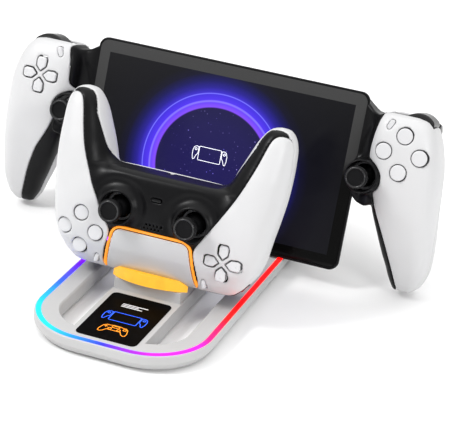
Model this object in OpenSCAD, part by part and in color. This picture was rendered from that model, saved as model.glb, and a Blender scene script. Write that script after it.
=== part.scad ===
// Handheld game console and game controller standing on a lit charging dock.
// Millimetres, +Z up, front towards -Y. The origin is under the middle of the dock, on the table.

/* [Dock] */
// Width of the dock over its rails
dock_w = 124; // [122:0.5:126]
// Length of the dock, front to back
dock_l = 242; // [239:1:245]
// Height of the dock's top face above the table
dock_h = 13.2; // [12.8:0.1:13.3]
// Radius of the dock's outer corners
dock_corner_r = 43.5; // [40:0.5:46]
// Width of the rail that runs round the dock
rail_w = 17; // [16:0.5:18]
// Width of the bar along the middle of the dock
bar_w = 50; // [48:1:52]
// Height of the rubber feet
foot_h = 2; // [1.5:0.1:2.5]

/* [Console] */
// Width of the screen's cover glass
glass_w = 200.6; // [199.6:0.2:201.6]
// Height of the screen's cover glass
glass_h = 122.8; // [121.8:0.2:123.8]
// Thickness of the console's middle
tablet_t = 15; // [14:0.5:16]
// Height of the screen's centre above the table
console_z = 74.8; // [74.6:0.1:76]
// How far the console leans back, in degrees
console_lean = 17.9; // [16:0.1:19]
// Distance from the middle to each stick of the console
console_stick_x = 110; // [109.8:0.1:110.2]
// Distance from the middle to the console's button clusters
console_key_x = 135; // [134.6:0.1:135.4]
// Distance between the middle of the cluster and each round button
console_key_pitch = 12.6; // [12.4:0.1:12.8]

/* [Controller] */
// Height above the table of the controller's lower edge
pad_z = 22.4; // [22.2:0.1:24]
// How far the controller leans back, in degrees
pad_lean = 12; // [11:0.5:13]
// Distance from the middle to each stick of the controller
pad_stick_x = 26.8; // [26.5:0.1:27.1]
// Distance from the middle to the controller's button clusters
pad_key_x = 51.3; // [51:0.1:51.6]
// Distance between the middle of the cluster and each round button
pad_key_pitch = 11.6; // [11.5:0.1:11.8]

/* [Fits] */
// Wall thickness of the moulded shells
wall = 2.2; // [2:0.1:2.4]
// Gap round a key in its hole
key_gap = 0.45; // [0.4:0.05:0.6]
// Travel of a push button
key_travel = 1.2; // [1:0.1:1.3]

/* [Hidden] */

console_y = dock_l / 2 - 50.5;      // the screen's centre stands over the back of the dock
pad_y = console_y - 105.6;        // the controller stands in front of it
seam = 0.15;                      // gap at a seam between two fixed shells
big = 400;                        // larger than anything here

white = "whitesmoke";
black = "#17181a";
metal = "silver";

// ---------------------------------------------------------------- helpers

// Stands a piece up that is modelled lying on its back, with y up its face and z out of its face.
module stand_up(y, z, lean) translate([0, y, z]) rotate([90 - lean, 0, 0]) children();
module on_console() stand_up(console_y, console_z, console_lean) children();
module on_pad() stand_up(pad_y, pad_z, pad_lean) children();
module both_sides() { children(); mirror([1, 0, 0]) children(); }
// A moulded shell is one continuous skin.
module moulded() resize([0, 0, 0]) children();

module box(x0, x1, y0, y1, z0, z1) translate([x0, y0, z0]) cube([x1 - x0, y1 - y0, z1 - z0]);

// A rectangle with round corners, from true arcs.
module round_rect(w, l, r) {
    square([w - 2 * r, l], center = true);
    square([w, l - 2 * r], center = true);
    for (x = [-1, 1], y = [-1, 1]) translate([x * (w / 2 - r), y * (l / 2 - r)]) circle(r, $fn = 96);
}

// A bar with round ends, lying along x.
module pill(l, w, h, fn = 32) {
    cube([l - w, w, h], center = true);
    for (x = [-1, 1]) translate([x * (l - w) / 2, 0, 0]) cylinder(h = h, d = w, center = true, $fn = fn);
}

function power(x, p) = sign(x) * pow(abs(x), p);
// One closed ring of a rounded-square section at height y: half sizes w and h about (x0, z0).
function ring(x0, y, z0, w, h, n, sides) = [for (i = [0:sides - 1]) let (t = 360 * i / sides)
    [x0 + w * power(cos(t), 2 / n), y, z0 + h * power(sin(t), 2 / n)]];
// Closed solid through a list of rings, from the highest y down.
module loft(rings) {
    n = len(rings[0]);
    m = len(rings);
    polyhedron(
        points = [for (r = rings) each r],
        faces = [
            [for (i = [0:n - 1]) i],
            [for (i = [n - 1:-1:0]) (m - 1) * n + i],
            for (j = [0:m - 2], i = [0:n - 1]) each let (k = (i + 1) % n) [
                [j * n + i, (j + 1) * n + k, j * n + k],
                [j * n + i, (j + 1) * n + i, (j + 1) * n + k]]]);
}

// ---------------------------------------------------------------- controller envelope

// Rows are [y, half width, front height, back height] of the controller's middle.
PAD_ROWS = [[72, 41, 10, -11], [69.4, 45.3, 12.6, -14], [64, 51.5, 14.2, -17], [53.6, 61.8, 15.6, -20],
    [42.2, 70, 16, -22], [29.9, 73, 15.8, -23], [19.6, 71, 14.2, -23], [11.3, 66.6, 11, -22], [5.2, 61.5, 7.4, -19],
    [1.5, 57, 3.2, -16], [0, 52, 0, -13]];
// Rows are [y, x0, z0, half width, half depth] of the right handle.
PAD_HANDLE = [[117.5, 69.5, -12, 2, 3], [115.4, 69.3, -12, 6.6, 8.3], [111.6, 69, -12, 10, 12],
    [104.6, 68, -12, 13.2, 15], [93.7, 66, -11.2, 15.8, 17.8], [81.4, 63.4, -9.4, 18.4, 20],
    [69, 60.9, -7.4, 20.3, 20.6], [55.6, 58.5, -4.8, 21.2, 20.2], [42.2, 55.8, -3.1, 21.8, 19],
    [29.9, 54, -3.6, 19.6, 18], [20.6, 52.5, -4.1, 15.5, 14.9], [12.4, 51.5, -4.1, 8.2, 8.2]];

// The controller's outer form, drawn in by t on every side.
module pad_form(t = 0) {
    loft([for (r = PAD_ROWS) let (y = 36.5 + (r[0] - 36.5) * (1 - t / 36.5))
        ring(0, y, (r[2] + r[3]) / 2, r[1] - t, (r[2] - r[3]) / 2 - t, 4.5, 44)]);
    both_sides() loft([for (r = PAD_HANDLE) let (y = 65 + (r[0] - 65) * (1 - t / 54))
        ring(r[1], y, r[2], max(r[3] - t, 0.3), max(r[4] - t, 0.3), 2.3, 28)]);
}
// Height of the controller's face at (x, y).
function row_at(y, i) = lookup(y, [for (r = PAD_ROWS) [r[0], r[i]]]);
function pad_face(x, y) = let (f = row_at(y, 2), b = row_at(y, 3), w = row_at(y, 1))
    (f + b) / 2 + (f - b) / 2 * pow(1 - pow(abs(x / w), 4.5), 1 / 4.5);

pad_split_z = -8;                 // where the front pieces meet the back shell
// Half outline of the right white plate, seen from the front.
PAD_PLATE = [[36, -4], [34.5, 8], [33, 16.5], [30.5, 28.4], [34.4, 37], [45, 54], [55, 73.5], [61.5, 90.5],
    [66, 106], [68.5, 111.4], [72, 113.4], [76.5, 112.4], [82, 107], [92, 92], [92, 0], [72, -4]];
module pad_plate_area(grow = 0) offset(delta = grow) polygon(PAD_PLATE);
module pad_touch_area(grow = 0) offset(r = grow, $fn = 24) hull() {
    polygon([[-33.4, -4], [33.4, -4], [32.8, 1], [-32.8, 1]]);
    for (s = [-1, 1]) translate([s * 21.4, 26.4]) circle(6.2, $fn = 24);
}

pad_key_y = 25.7;
pad_stick_y = 46.3;
pad_stick_z = 7;                  // height of each stick's pivot
pad_stick_top = 29.6;             // height of each stick's cap
pad_bumper_box = [38, 68, -4, 9.5, -11.2, -1.5];
pad_trigger_box = [37.8, 59.4, -6, 14.4, -40, -13.6];
usb_z = -7.4;                     // middle of the charging port, behind the face

// ---------------------------------------------------------------- shared small pieces

module key(r, z_top, depth, flange_depth) {
    translate([0, 0, z_top - depth]) cylinder(h = depth - 0.5, r = r, $fn = 48);
    translate([0, 0, z_top - 0.5]) cylinder(h = 0.5, r1 = r, r2 = r - 0.6, $fn = 48);
    translate([0, 0, z_top - flange_depth - 1]) cylinder(h = 1, r = r + 1, $fn = 48);
}

// Outline of the upper arm of a direction pad: flat outside, pointed to the middle.
module dpad_arm(grow = 0) offset(delta = grow)
    polygon([[0, 2.6], [3.4, 6], [3.6, 10.6], [2.6, 12.6], [-2.6, 12.6], [-3.6, 10.6], [-3.4, 6]]);
module dpad_arms(grow = 0) for (a = [0:90:270]) rotate(a) dpad_arm(grow);
// Four arms on one hidden plate, above the pivot at z.
module dpad(z_top, z_pivot) {
    translate([0, 0, z_pivot + 1.8]) linear_extrude(z_top - z_pivot - 1.8) dpad_arms();
    translate([0, 0, z_pivot + 1.2]) cylinder(h = 1, r = 7.5, $fn = 48);
}
module dpad_pivot(z_pivot) {
    translate([0, 0, z_pivot - 1.5]) cylinder(h = 2, r = 2.5, $fn = 32);
    translate([0, 0, z_pivot - 2.3]) cylinder(h = 1, r = 5, $fn = 32);
}

// A thumb stick: dished cap on a stem, on a dome that turns about the pivot at z = 0.
module stick(top, cap_r) {
    difference() {
        translate([0, 0, top - 4.6]) cylinder(h = 4.6, r = cap_r, $fn = 48);
        translate([0, 0, top + 14.4]) sphere(15.6, $fn = 48);
    }
    translate([0, 0, top - 6.6]) cylinder(h = 2.2, r1 = 3.6, r2 = cap_r - 1, $fn = 48);
    translate([0, 0, 4]) cylinder(h = top - 8, r = 3.6, $fn = 32);
    intersection() {
        sphere(7.6, $fn = 48);
        translate([0, 0, -2.6]) cylinder(h = 20, r = 9, $fn = 48);
    }
}
// The ring that carries the stick's second tilt.
module stick_gimbal() difference() {
    translate([0, 0, -1.5]) cylinder(h = 3, r = 9.6, $fn = 48);
    translate([0, 0, -2]) cylinder(h = 4, r = 8.1, $fn = 48);
}
well_r = 10.6;                    // inner radius of each stick's well
well_wall = 1.7;

// ---------------------------------------------------------------- dock

module dock_outline(inset) round_rect(dock_w - 2 * inset, dock_l - 2 * inset, dock_corner_r - inset);
cover_t = 1.4;
panel_w = 43;
panel_l = 63;
panel_y = -dock_l / 2 + 8.8 + panel_l / 2;
panel_t = 1.2;
strip_w = 2.6;
strip_t = 1.6;
strip_inset = 1.3;

module dock_ring(inset, width) difference() {
    dock_outline(inset);
    dock_outline(inset + width);
}

// The rail's section, from its inner wall at -rail_w to its outer wall at 0.
RAIL = [[-rail_w + 1.4, foot_h], [-3.4, foot_h], [0, foot_h + 5], [0, dock_h - 0.7], [-0.7, dock_h],
    [-rail_w + 0.9, dock_h], [-rail_w, dock_h - 0.9], [-rail_w, foot_h + 1.4]];
under = 4.8;                      // inset of the hollow below from the outer wall
under_w = rail_w - under - 2.8;   // and its width
module straight_rail(out, l) translate([out, l / 2, 0]) rotate([90, 0, 0]) linear_extrude(l) polygon(RAIL);
module rail_body() {
    r = dock_corner_r;
    for (a = [0, 180]) rotate(a) straight_rail(dock_w / 2, dock_l - 2 * r);
    for (a = [90, 270]) rotate(a) straight_rail(dock_l / 2, dock_w - 2 * r);
    for (x = [-1, 1], y = [-1, 1])
        translate([x * (dock_w / 2 - r), y * (dock_l / 2 - r), 0])
        rotate(x > 0 ? (y > 0 ? 0 : 270) : (y > 0 ? 90 : 180))
        rotate_extrude(angle = 90, $fn = 144) translate([r, 0]) polygon(RAIL);
}

module dock_base() color(white) difference() {
    union() {
        rail_body();
        translate([0, 0, foot_h]) linear_extrude(dock_h - foot_h) square([bar_w, dock_l - 2 * rail_w + 1], center = true);
        difference() {
            box(-bar_w / 2, bar_w / 2, console_y - 26, console_y - 14, dock_h - 1, dock_h + 5);
            tablet_room();
        }
    }
    // hollow underneath, for the bottom cover and the board
    translate([0, 0, foot_h - 1]) linear_extrude(cover_t + 1) {
        dock_ring(under - 0.3, under_w + 0.6);
        square([bar_w - 4, dock_l - 2 * rail_w + 8], center = true);
    }
    translate([0, 0, foot_h]) linear_extrude(dock_h - foot_h - 3.2) {
        dock_ring(under, under_w);
        square([bar_w - 6, dock_l - 2 * rail_w + 8], center = true);
    }
    translate([0, 0, dock_h - strip_t]) linear_extrude(strip_t + 1) dock_ring(strip_inset, strip_w);
    translate([0, panel_y, dock_h - panel_t]) linear_extrude(panel_t + 1) round_rect(panel_w, panel_l, 4);
    // power inlet in the back wall, and wire holes under the cradle and the stand
    translate([0, dock_l / 2, inlet_z]) rotate([90, 0, 0]) pill(9.6, 3.8, 12);
    for (y = [plug_pad_y, plug_console_y]) translate([0, y, dock_h - 2]) cube([14, 7, 6], center = true);
}
inlet_z = foot_h + cover_t + 3.4;

module dock_bottom_cover() color("gainsboro") difference() {
    translate([0, 0, foot_h]) linear_extrude(cover_t - 0.05) {
        dock_ring(under - 0.3 + seam, under_w + 0.6 - 2 * seam);
        square([bar_w - 4 - 2 * seam, dock_l - 2 * rail_w + 8], center = true);
    }
    for (p = foot_places()) translate([p.x, p.y, foot_h - 1]) cylinder(h = 1.4, r = 4.6, $fn = 48);
}

function foot_places() = [for (x = [-1, 1], y = [-1, 1]) [x * (dock_w / 2 - 9.4), y * (dock_l / 2 - 50)],
    [0, -dock_l / 2 + 24], [0, dock_l / 2 - 24]];
module dock_feet() color("dimgray") for (p = foot_places())
    translate([p.x, p.y, 0]) cylinder(h = foot_h + 0.4, r = 4.6, $fn = 48);

module dock_light_strip() color("violet")
    translate([0, 0, dock_h - strip_t]) linear_extrude(strip_t + 0.5) dock_ring(strip_inset, strip_w);

module dock_panel() color(black)
    translate([0, panel_y, dock_h - panel_t]) linear_extrude(panel_t + 0.3) round_rect(panel_w, panel_l, 4);

module dock_board() color("darkgreen") {
    translate([0, 0, foot_h + cover_t + 0.4]) linear_extrude(1.6) square([34, dock_l - 40], center = true);
    translate([0, dock_l / 2 - 12.5, inlet_z]) rotate([90, 0, 0]) pill(8.8, 3, 17);
}

// Charging plugs: a housing in the dock and a metal tongue that enters the port above.
plug_pad_y = pad_y - usb_z * cos(pad_lean);
plug_console_y = console_y - glass_h / 2 * sin(console_lean) + 7.5;
module plug() {
    translate([0, 0, -4]) rotate([90, 0, 0]) pill(8.2, 2.5, 0.01 + 8.2, 24);
    translate([0, 0, -0.2]) cube([8.2, 2.5, 11.6], center = true);
}
plug_in = 5.6;                    // how far each tongue stands into its port
module dock_plugs() color(metal) {
    on_pad() translate([0, -0.7, usb_z]) box(-4.1, 4.1, -7, plug_in, -1.2, 1.2);
    on_console() translate([0, -tablet_edge, -tablet_t / 2]) box(-4.1, 4.1, -6.2, plug_in, -1.2, 1.2);
}

module dock_cradle() color(white) difference() {
    union() {
        box(-24, 24, pad_y - 9, pad_y + 26, dock_h, pad_z - 1.2);
        hull() {
            box(-24, 24, pad_y + 20, pad_y + 26, dock_h, pad_z + 6);
            box(-24, 24, pad_y + 16, pad_y + 20, dock_h, pad_z - 2);
        }
    }
    pad_clearance(0.5);
    dock_lip_block(0.1);
    on_pad() translate([0, -8, usb_z]) box(-4.25, 4.25, -8, 8, -1.35, 1.35);
}
// Room for the controller on its way up and out of the cradle.
module pad_clearance(gap) on_pad() moulded() {
    pad_form(-gap);
    translate([0, 8, 0]) pad_form(-gap);
}
// The lit lip: a crescent in front of the touch pad's lower edge.
lip_w = 54;
module dock_lip_block(grow = 0) on_pad() translate([0, 0, 0]) rotate([-90, 0, 0])
    translate([0, 0, -2.4 - grow]) linear_extrude(7.6 + 2 * grow) offset(delta = grow) intersection() {
        translate([0, 26.5]) circle(41, $fn = 96);
        translate([-lip_w / 2, -16]) square([lip_w, 12]);
    }
module dock_cradle_lip() color("orange") difference() {
    dock_lip_block();
    pad_clearance(0.5);
}

tablet_edge = glass_h / 2 + 1.6;
// Room for the handheld on its way up and off the stand.
module tablet_room() on_console() box(-60, 60, -tablet_edge - 0.4, 200, -tablet_t - 0.5, 0.8);
module dock_stand() color(white) difference() {
    union() {
        box(-32, 32, console_y - 4, console_y + 24, dock_h, dock_h + 5);
        on_console() {
            box(-24, 24, -tablet_edge - 12, 10, -tablet_t - 9, -tablet_t);
            for (x = [-22, 20]) box(x, x + 2, -tablet_edge - 12, -14, -tablet_t - 24, -tablet_t - 8);
        }
    }
    translate([0, 0, dock_h - 50]) cube([big, big, 100], center = true);
    tablet_room();
    on_console() translate([0, -tablet_edge, -tablet_t / 2]) box(-4.25, 4.25, -20, 4, -1.35, 1.35);
}

// ---------------------------------------------------------------- controller

module pad_skin() difference() { pad_form(0); pad_form(wall); }
module pad_front_half() box(-big, big, -big, big, pad_split_z, big);
module prism(z0 = -40, z1 = 60) translate([0, 0, z0]) linear_extrude(z1 - z0) children();

module pad_shoulder_room(grow) both_sides() {
    b = pad_bumper_box;
    box(b[0] - grow, b[1] + grow, b[2] - 9, b[3] + grow + 1, b[4] - grow, b[5] + grow);
    t = pad_trigger_box;
    box(t[0] - grow, t[1] + grow, t[2] - 9, t[3] + grow, t[4] - grow, t[5] + grow);
}
module pad_port_room() translate([0, -6, usb_z]) box(-4.7, 4.7, -6, 16, -1.8, 1.8);

function pad_key_at(i) = [-pad_key_x, pad_key_y] + pad_key_pitch * [cos(90 * i), sin(90 * i)];
pad_key_r = 5;
pad_small_at = [38.8, 7.6];

module pad_plate(s) color(white) moulded() difference() {
    intersection() {
        pad_skin();
        pad_front_half();
        prism() mirror([s < 0 ? 1 : 0, 0]) pad_plate_area();
    }
    pad_shoulder_room(0.4);
    for (i = [0:3]) let (p = pad_key_at(i))
        translate([p.x, p.y, -40]) cylinder(h = 90, r = pad_key_r + key_gap, $fn = 32);
    translate([pad_key_x, pad_key_y, 0]) prism() dpad_arms(0.8);
    for (x = [-1, 1]) translate([x * pad_small_at.x, pad_small_at.y, 0]) rotate(90 + x * 12)
        pill(6.4 + 2 * key_gap, 2.8 + 2 * key_gap, 80);
}

module pad_mid_frame() color(black) moulded() difference() {
    union() {
        difference() {
            intersection() { pad_skin(); pad_front_half(); }
            prism() both_sides() pad_plate_area(seam);
        }
        both_sides() translate([pad_stick_x, pad_stick_y, -4.5]) cylinder(h = 22.6, r = well_r + well_wall, $fn = 48);
    }
    prism(-2.6) pad_touch_area(2.2);
    prism() both_sides() pad_plate_area(seam);
    both_sides() translate([pad_stick_x, pad_stick_y, -40]) cylinder(h = 90, r = well_r, $fn = 48);
    pad_shoulder_room(0.4);
    pad_port_room();
    translate([0, 57, 0]) pill(7 + 2 * key_gap, 2.2 + 2 * key_gap, 80);
    translate([0, 76, -6]) rotate([90, 0, 0]) cylinder(h = 14, r = 1.8, $fn = 24);
    for (i = [-2:2], j = [0, 1]) translate([i * 2.4 + 1.2 * j, 37.4 + 2.2 * j, 0]) cylinder(h = 40, r = 0.5, $fn = 12);
}

module pad_back_shell() color(white) moulded() difference() {
    pad_skin();
    box(-big, big, -big, big, pad_split_z - seam, big);
    pad_shoulder_room(0.4);
    pad_port_room();
}

module pad_light_bar() color("orange") moulded() difference() {
    intersection() {
        difference() { pad_form(0); pad_form(wall); }
        prism(-2) pad_touch_area(2);
    }
    prism() pad_touch_area(0.4);
    prism() both_sides() pad_plate_area(seam);
    box(-big, big, -big, 0.4, -big, big);
}

module pad_touchpad() color("gainsboro") moulded() intersection() {
    difference() { pad_form(-0.2); pad_form(1.6); }
    prism(-2) pad_touch_area(0);
}

module pad_board() color("darkgreen") difference() {
    translate([0, 0, -6.4]) linear_extrude(1.5) polygon(
        [[-30, 8], [30, 8], [33, 23], [58, 23], [62, 40], [50, 60], [-50, 60], [-62, 40], [-58, 23], [-33, 23]]);
    both_sides() translate([pad_stick_x, pad_stick_y, -20]) cylinder(h = 40, r = well_r + well_wall + 0.5, $fn = 48);
    box(-5, 5, 5, 12, -10, 0);
}
module pad_battery() color("slategray") box(-24, 24, 18, 54, -16.5, -9);
module pad_motors() color(metal) both_sides()
    translate([60.5, 70, -8.5]) rotate([-90, 0, 0]) cylinder(h = 13, r = 10, $fn = 48);

module pad_button(i) color("gainsboro") let (p = pad_key_at(i))
    translate([p.x, p.y, 0]) key(pad_key_r, pad_face(p.x, p.y) + 1.2, 10.8, 9);
pad_dpad_z = pad_face(pad_key_x, pad_key_y);
module pad_dpad() color("gainsboro") translate([pad_key_x, pad_key_y, 0]) dpad(pad_dpad_z + 1.4, pad_dpad_z - 7.4);
module pad_dpad_pivot() color(metal) translate([pad_key_x, pad_key_y, 0]) dpad_pivot(pad_dpad_z - 7.4);
module pad_small_key(s) color("gainsboro") let (z = pad_face(pad_small_at.x, pad_small_at.y))
    translate([s * pad_small_at.x, pad_small_at.y, z - 1.5]) rotate(90 + s * 12) pill(6.4, 2.8, 5);
module pad_mute() color(black) translate([0, 57, pad_face(0, 57) - 1.4]) pill(7, 2.2, 4);
module pad_stick(s) color(black)
    translate([s * pad_stick_x, pad_stick_y, pad_stick_z]) stick(pad_stick_top - pad_stick_z, 8);
module pad_stick_gimbal(s) color(metal) translate([s * pad_stick_x, pad_stick_y, pad_stick_z]) stick_gimbal();

module right_or_left(s) mirror([s < 0 ? 1 : 0, 0, 0]) children();
module pad_bumper(s) color(black) right_or_left(s) moulded() intersection() {
    pad_form(-0.3);
    let (b = pad_bumper_box) box(b[0], b[1], b[2], b[3], b[4], b[5]);
    difference() {
        pad_form(-1);
        translate([0, 3.4, 0]) pad_form(0.6);
    }
}
// The trigger's side outline, hinged near its upper front corner.
pad_trigger_pivot = [9, -16.4];   // [y, z]
module trigger(x, w, pivot, outline) {
    translate([x, 0, 0]) rotate([90, 0, 90]) linear_extrude(w) offset(r = 1, $fn = 24) polygon(outline);
    translate([x - 0.6, pivot.x, pivot.y]) rotate([0, 90, 0]) cylinder(h = w + 1.2, r = 1.2, $fn = 32);
}
module pad_trigger(s) color(black) right_or_left(s) trigger(38.6, 20, pad_trigger_pivot,
    [[2, -15.2], [10, -15.2], [10.8, -17.6], [10, -24], [5, -24.6], [1.6, -22], [1, -18]]);

// ---------------------------------------------------------------- console

// Rows are [y, x0, z0, half width, half depth] of the right grip.
GRIP_ROWS = [[54, 130.6, -4.2, 13.6, 13.8], [52, 131, -3, 17.2, 16.8], [45.3, 132, -1.1, 21.4, 18.9],
    [35, 133.8, -0.6, 23.8, 20], [20.6, 135.6, -1.5, 25, 20.5], [4.1, 137.4, -3.2, 24.4, 19.8],
    [-12.4, 139.8, -6, 22.7, 18.6], [-28.8, 142.9, -10.6, 20.1, 16.8], [-43.3, 145.4, -15, 17.2, 15.2],
    [-54.6, 147, -18, 13.9, 13.4], [-62.8, 147, -19.6, 10.4, 10.8], [-68, 145.8, -20, 6.4, 6.6]];
module grip_form(t = 0) loft([for (r = GRIP_ROWS) let (y = -6.8 + (r[0] + 6.8) * (1 - t / 60))
    ring(r[1], y, r[2], max(r[3] - t, 0.3), max(r[4] - t, 0.3), 3.4, 36)]);
function grip_row(y, i) = lookup(y, [for (r = GRIP_ROWS) [r[0], r[i]]]);
function grip_face(x, y) = let (dx = (x - grip_row(y, 1)) / grip_row(y, 3))
    grip_row(y, 2) + grip_row(y, 4) * pow(1 - pow(abs(dx), 3.4), 1 / 3.4);

grip_split_z = -9;
console_key_y = 28.4;
console_stick_y = 8;
console_stick_z = 6;
console_stick_top = 32;
console_small_at = [123.4, 46.8];
console_key_r = 5.4;
console_bumper_box = [119, 150, 48.5, 62, -14, 6];
console_trigger_box = [123, 154, 34.6, 66, -44, -16.4];

// Outlines of the white front plates, both drawn as on the right.
PLATE_BY_POD = [[110.4, 21.3], [113.5, 20.4], [118.8, 17.1], [122.5, 12.2], [123.3, 7.1], [121.9, 1.7]];
PLATE_END = [[185, -77], [185, 62]];
GRIP_PLATE_RIGHT = [[116.6, 62], [115.6, 53.1], [113.2, 40.1], [110.8, 26.1], each PLATE_BY_POD, [118.8, -2.7],
    [122.3, -13.6], [128.3, -27.9], [135.4, -45.7], [142.2, -65.1], [143.8, -77], each PLATE_END];
GRIP_PLATE_LEFT = [[118.6, 62], [117.7, 51.3], [115.5, 42.1], [114.6, 33.6], [113.8, 26.1], each PLATE_BY_POD,
    [122.6, -3.1], [128.1, -14.7], [133.8, -24.5], [137.8, -34.5], [141, -44.5], [143.6, -55.3], [146.5, -67.3],
    [147, -77], each PLATE_END];
module grip_plate_area(s, grow = 0) offset(delta = grow) polygon(s > 0 ? GRIP_PLATE_RIGHT : GRIP_PLATE_LEFT);

module grip_skin() difference() { grip_form(0); grip_form(wall); }
module console_shoulder_room(grow) {
    b = console_bumper_box;
    box(b[0] - grow, b[1] + grow, b[2] - grow - 1, b[3] + 9, b[4] - grow, b[5] + grow);
    t = console_trigger_box;
    box(t[0] - grow, t[1] + grow, t[2] - grow, t[3] + 9, t[4] - grow, t[5] + grow);
}

function console_key_at(i) = [console_key_x, console_key_y] + console_key_pitch * [cos(90 * i), sin(90 * i)];

module console_grip_front(s) color(white) right_or_left(s) moulded() difference() {
    intersection() {
        grip_skin();
        box(-big, big, -big, big, grip_split_z, big);
        prism() grip_plate_area(s);
    }
    console_shoulder_room(0.4);
    if (s > 0) for (i = [0:3]) let (p = console_key_at(i))
        translate([p.x, p.y, -40]) cylinder(h = 90, r = console_key_r + key_gap, $fn = 32);
    if (s < 0) translate([console_key_x, console_key_y, 0]) prism() dpad_arms(0.8);
    translate([console_small_at.x, console_small_at.y, 0]) rotate(66)
        pill(7 + 2 * key_gap, 3.2 + 2 * key_gap, 80);
}
module console_grip_back(s) color(white) right_or_left(s) moulded() difference() {
    grip_skin();
    box(-big, big, -big, big, grip_split_z - seam, big);
    console_shoulder_room(0.4);
    translate([console_stick_x, console_stick_y, -40]) cylinder(h = 80, r = well_r + well_wall + 0.3, $fn = 48);
}

module console_screen() color(black) {
    translate([0, 0, -1.2]) linear_extrude(1.2) round_rect(glass_w, glass_h, 6);
    box(-92.5, 92.5, -53, 53, -3.4, -1.2);
}

// The yoke between the tablet and one grip, with the stick's well.
module console_yoke() {
    hull() {
        box(97, 99, -12, 55, -13, -1);
        box(114, 116, -6, 52.5, -17, 8);
    }
    translate([console_stick_x, console_stick_y, -14]) cylinder(h = 34, r = well_r + well_wall, $fn = 48);
}
// One slice of the tablet, drawn in by t from its rim.
module slab(t, z, h) translate([0, 0, z]) linear_extrude(h) offset(r = 7, $fn = 32)
    square([glass_w + 3 - 14 - t, glass_h + 3 - 14 - t], center = true);
module console_body() color(black) moulded() difference() {
    union() {
        hull() {
            slab(15.5, -tablet_t, 1);
            slab(5.5, -tablet_t + 4.6, 1);
            slab(0, -2.6, 2.5);
        }
        for (s = [-1, 1]) right_or_left(s) {
            difference() {
                console_yoke();
                difference() { grip_form(-0.1); prism() difference() { square(2 * big, center = true); grip_plate_area(s); } }
                intersection() { grip_form(-0.1); box(0, big, -big, big, -big, grip_split_z); }
                grip_form(wall + 0.1);
            }
            difference() {
                intersection() { grip_skin(); box(-big, big, -big, big, grip_split_z, big); }
                prism() grip_plate_area(s, seam);
            }
        }
    }
    translate([0, 0, -1.3]) linear_extrude(5) offset(r = 6.1, $fn = 24) square([glass_w - 12, glass_h - 12], center = true);
    box(-93.5, 93.5, -54, 54, -tablet_t + 1.8, 0);
    both_sides() {
        translate([console_stick_x, console_stick_y, -12]) cylinder(h = 60, r = well_r, $fn = 48);
        console_shoulder_room(0.4);
    }
    translate([0, -tablet_edge, -tablet_t / 2]) box(-4.7, 4.7, -6, 14, -1.8, 1.8);
}

module console_board() color("darkgreen") box(-80, 80, 0, 46, -9.6, -8);
module console_battery() color("slategray") box(-60, 60, -42, -8, -11.6, -5.6);
module console_button(i) color("gainsboro") let (p = console_key_at(i))
    translate([p.x, p.y, 0]) key(console_key_r, grip_face(p.x, p.y) + 1.2, 10.8, 8.6);
console_dpad_z = grip_face(console_key_x, console_key_y);
module console_dpad() color("gainsboro") translate([-console_key_x, console_key_y, 0])
    dpad(console_dpad_z + 1.2, console_dpad_z - 7.4);
module console_dpad_pivot() color(metal) translate([-console_key_x, console_key_y, 0]) dpad_pivot(console_dpad_z - 7.4);
module console_small_key(s) color("gainsboro") right_or_left(s)
    translate([console_small_at.x, console_small_at.y, grip_face(console_small_at.x, console_small_at.y) - 1.6])
    rotate(66) pill(7, 3.2, 5);
module console_stick(s) color(black)
    translate([s * console_stick_x, console_stick_y, console_stick_z]) stick(console_stick_top - console_stick_z, 8);
module console_stick_gimbal(s) color(metal)
    translate([s * console_stick_x, console_stick_y, console_stick_z]) stick_gimbal();
module console_bumper(s) color(black) right_or_left(s) moulded() intersection() {
    grip_form(-2.2);
    let (b = console_bumper_box) box(b[0], b[1], b[2], b[3], b[4], b[5]);
}
console_trigger_pivot = [42.4, -19.6];
module console_trigger(s) color(black) right_or_left(s) trigger(124, 29, console_trigger_pivot,
    [[48.6, -18.2], [40.6, -18.2], [39, -21], [40.4, -27.6], [45.6, -28.6], [49, -25.6], [50, -21]]);

// ---------------------------------------------------------------- nodes

dock_base();
dock_bottom_cover();
dock_feet();
dock_light_strip();
dock_panel();
dock_cradle();
dock_cradle_lip();
dock_stand();
dock_board();
dock_plugs();
on_pad() pad_plate(-1);  // pad_plate_left
on_pad() pad_plate(1);  // pad_plate_right
on_pad() pad_mid_frame();
on_pad() pad_back_shell();
on_pad() pad_light_bar();
on_pad() pad_touchpad();
on_pad() pad_board();
on_pad() pad_battery();
on_pad() pad_motors();
on_pad() pad_button(0);  // pad_button_right
on_pad() pad_button(1);  // pad_button_top
on_pad() pad_button(2);  // pad_button_left
on_pad() pad_button(3);  // pad_button_bottom
on_pad() pad_dpad();
on_pad() pad_dpad_pivot();
on_pad() pad_small_key(1);  // pad_create
on_pad() pad_small_key(-1);  // pad_options
on_pad() pad_mute();
on_pad() pad_stick_gimbal(-1);  // pad_stick_left_gimbal
on_pad() pad_stick(-1);  // pad_stick_left
on_pad() pad_stick_gimbal(1);  // pad_stick_right_gimbal
on_pad() pad_stick(1);  // pad_stick_right
on_pad() pad_bumper(-1);  // pad_bumper_left
on_pad() pad_bumper(1);  // pad_bumper_right
on_pad() pad_trigger(-1);  // pad_trigger_left
on_pad() pad_trigger(1);  // pad_trigger_right
on_console() console_screen();
on_console() console_body();
on_console() console_grip_front(-1);  // console_grip_front_left
on_console() console_grip_front(1);  // console_grip_front_right
on_console() console_grip_back(-1);  // console_grip_back_left
on_console() console_grip_back(1);  // console_grip_back_right
on_console() console_board();
on_console() console_battery();
on_console() console_button(0);  // console_button_right
on_console() console_button(1);  // console_button_top
on_console() console_button(2);  // console_button_left
on_console() console_button(3);  // console_button_bottom
on_console() console_dpad();
on_console() console_dpad_pivot();
on_console() console_small_key(-1);  // console_create
on_console() console_small_key(1);  // console_options
on_console() console_stick_gimbal(-1);  // console_stick_left_gimbal
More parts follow.
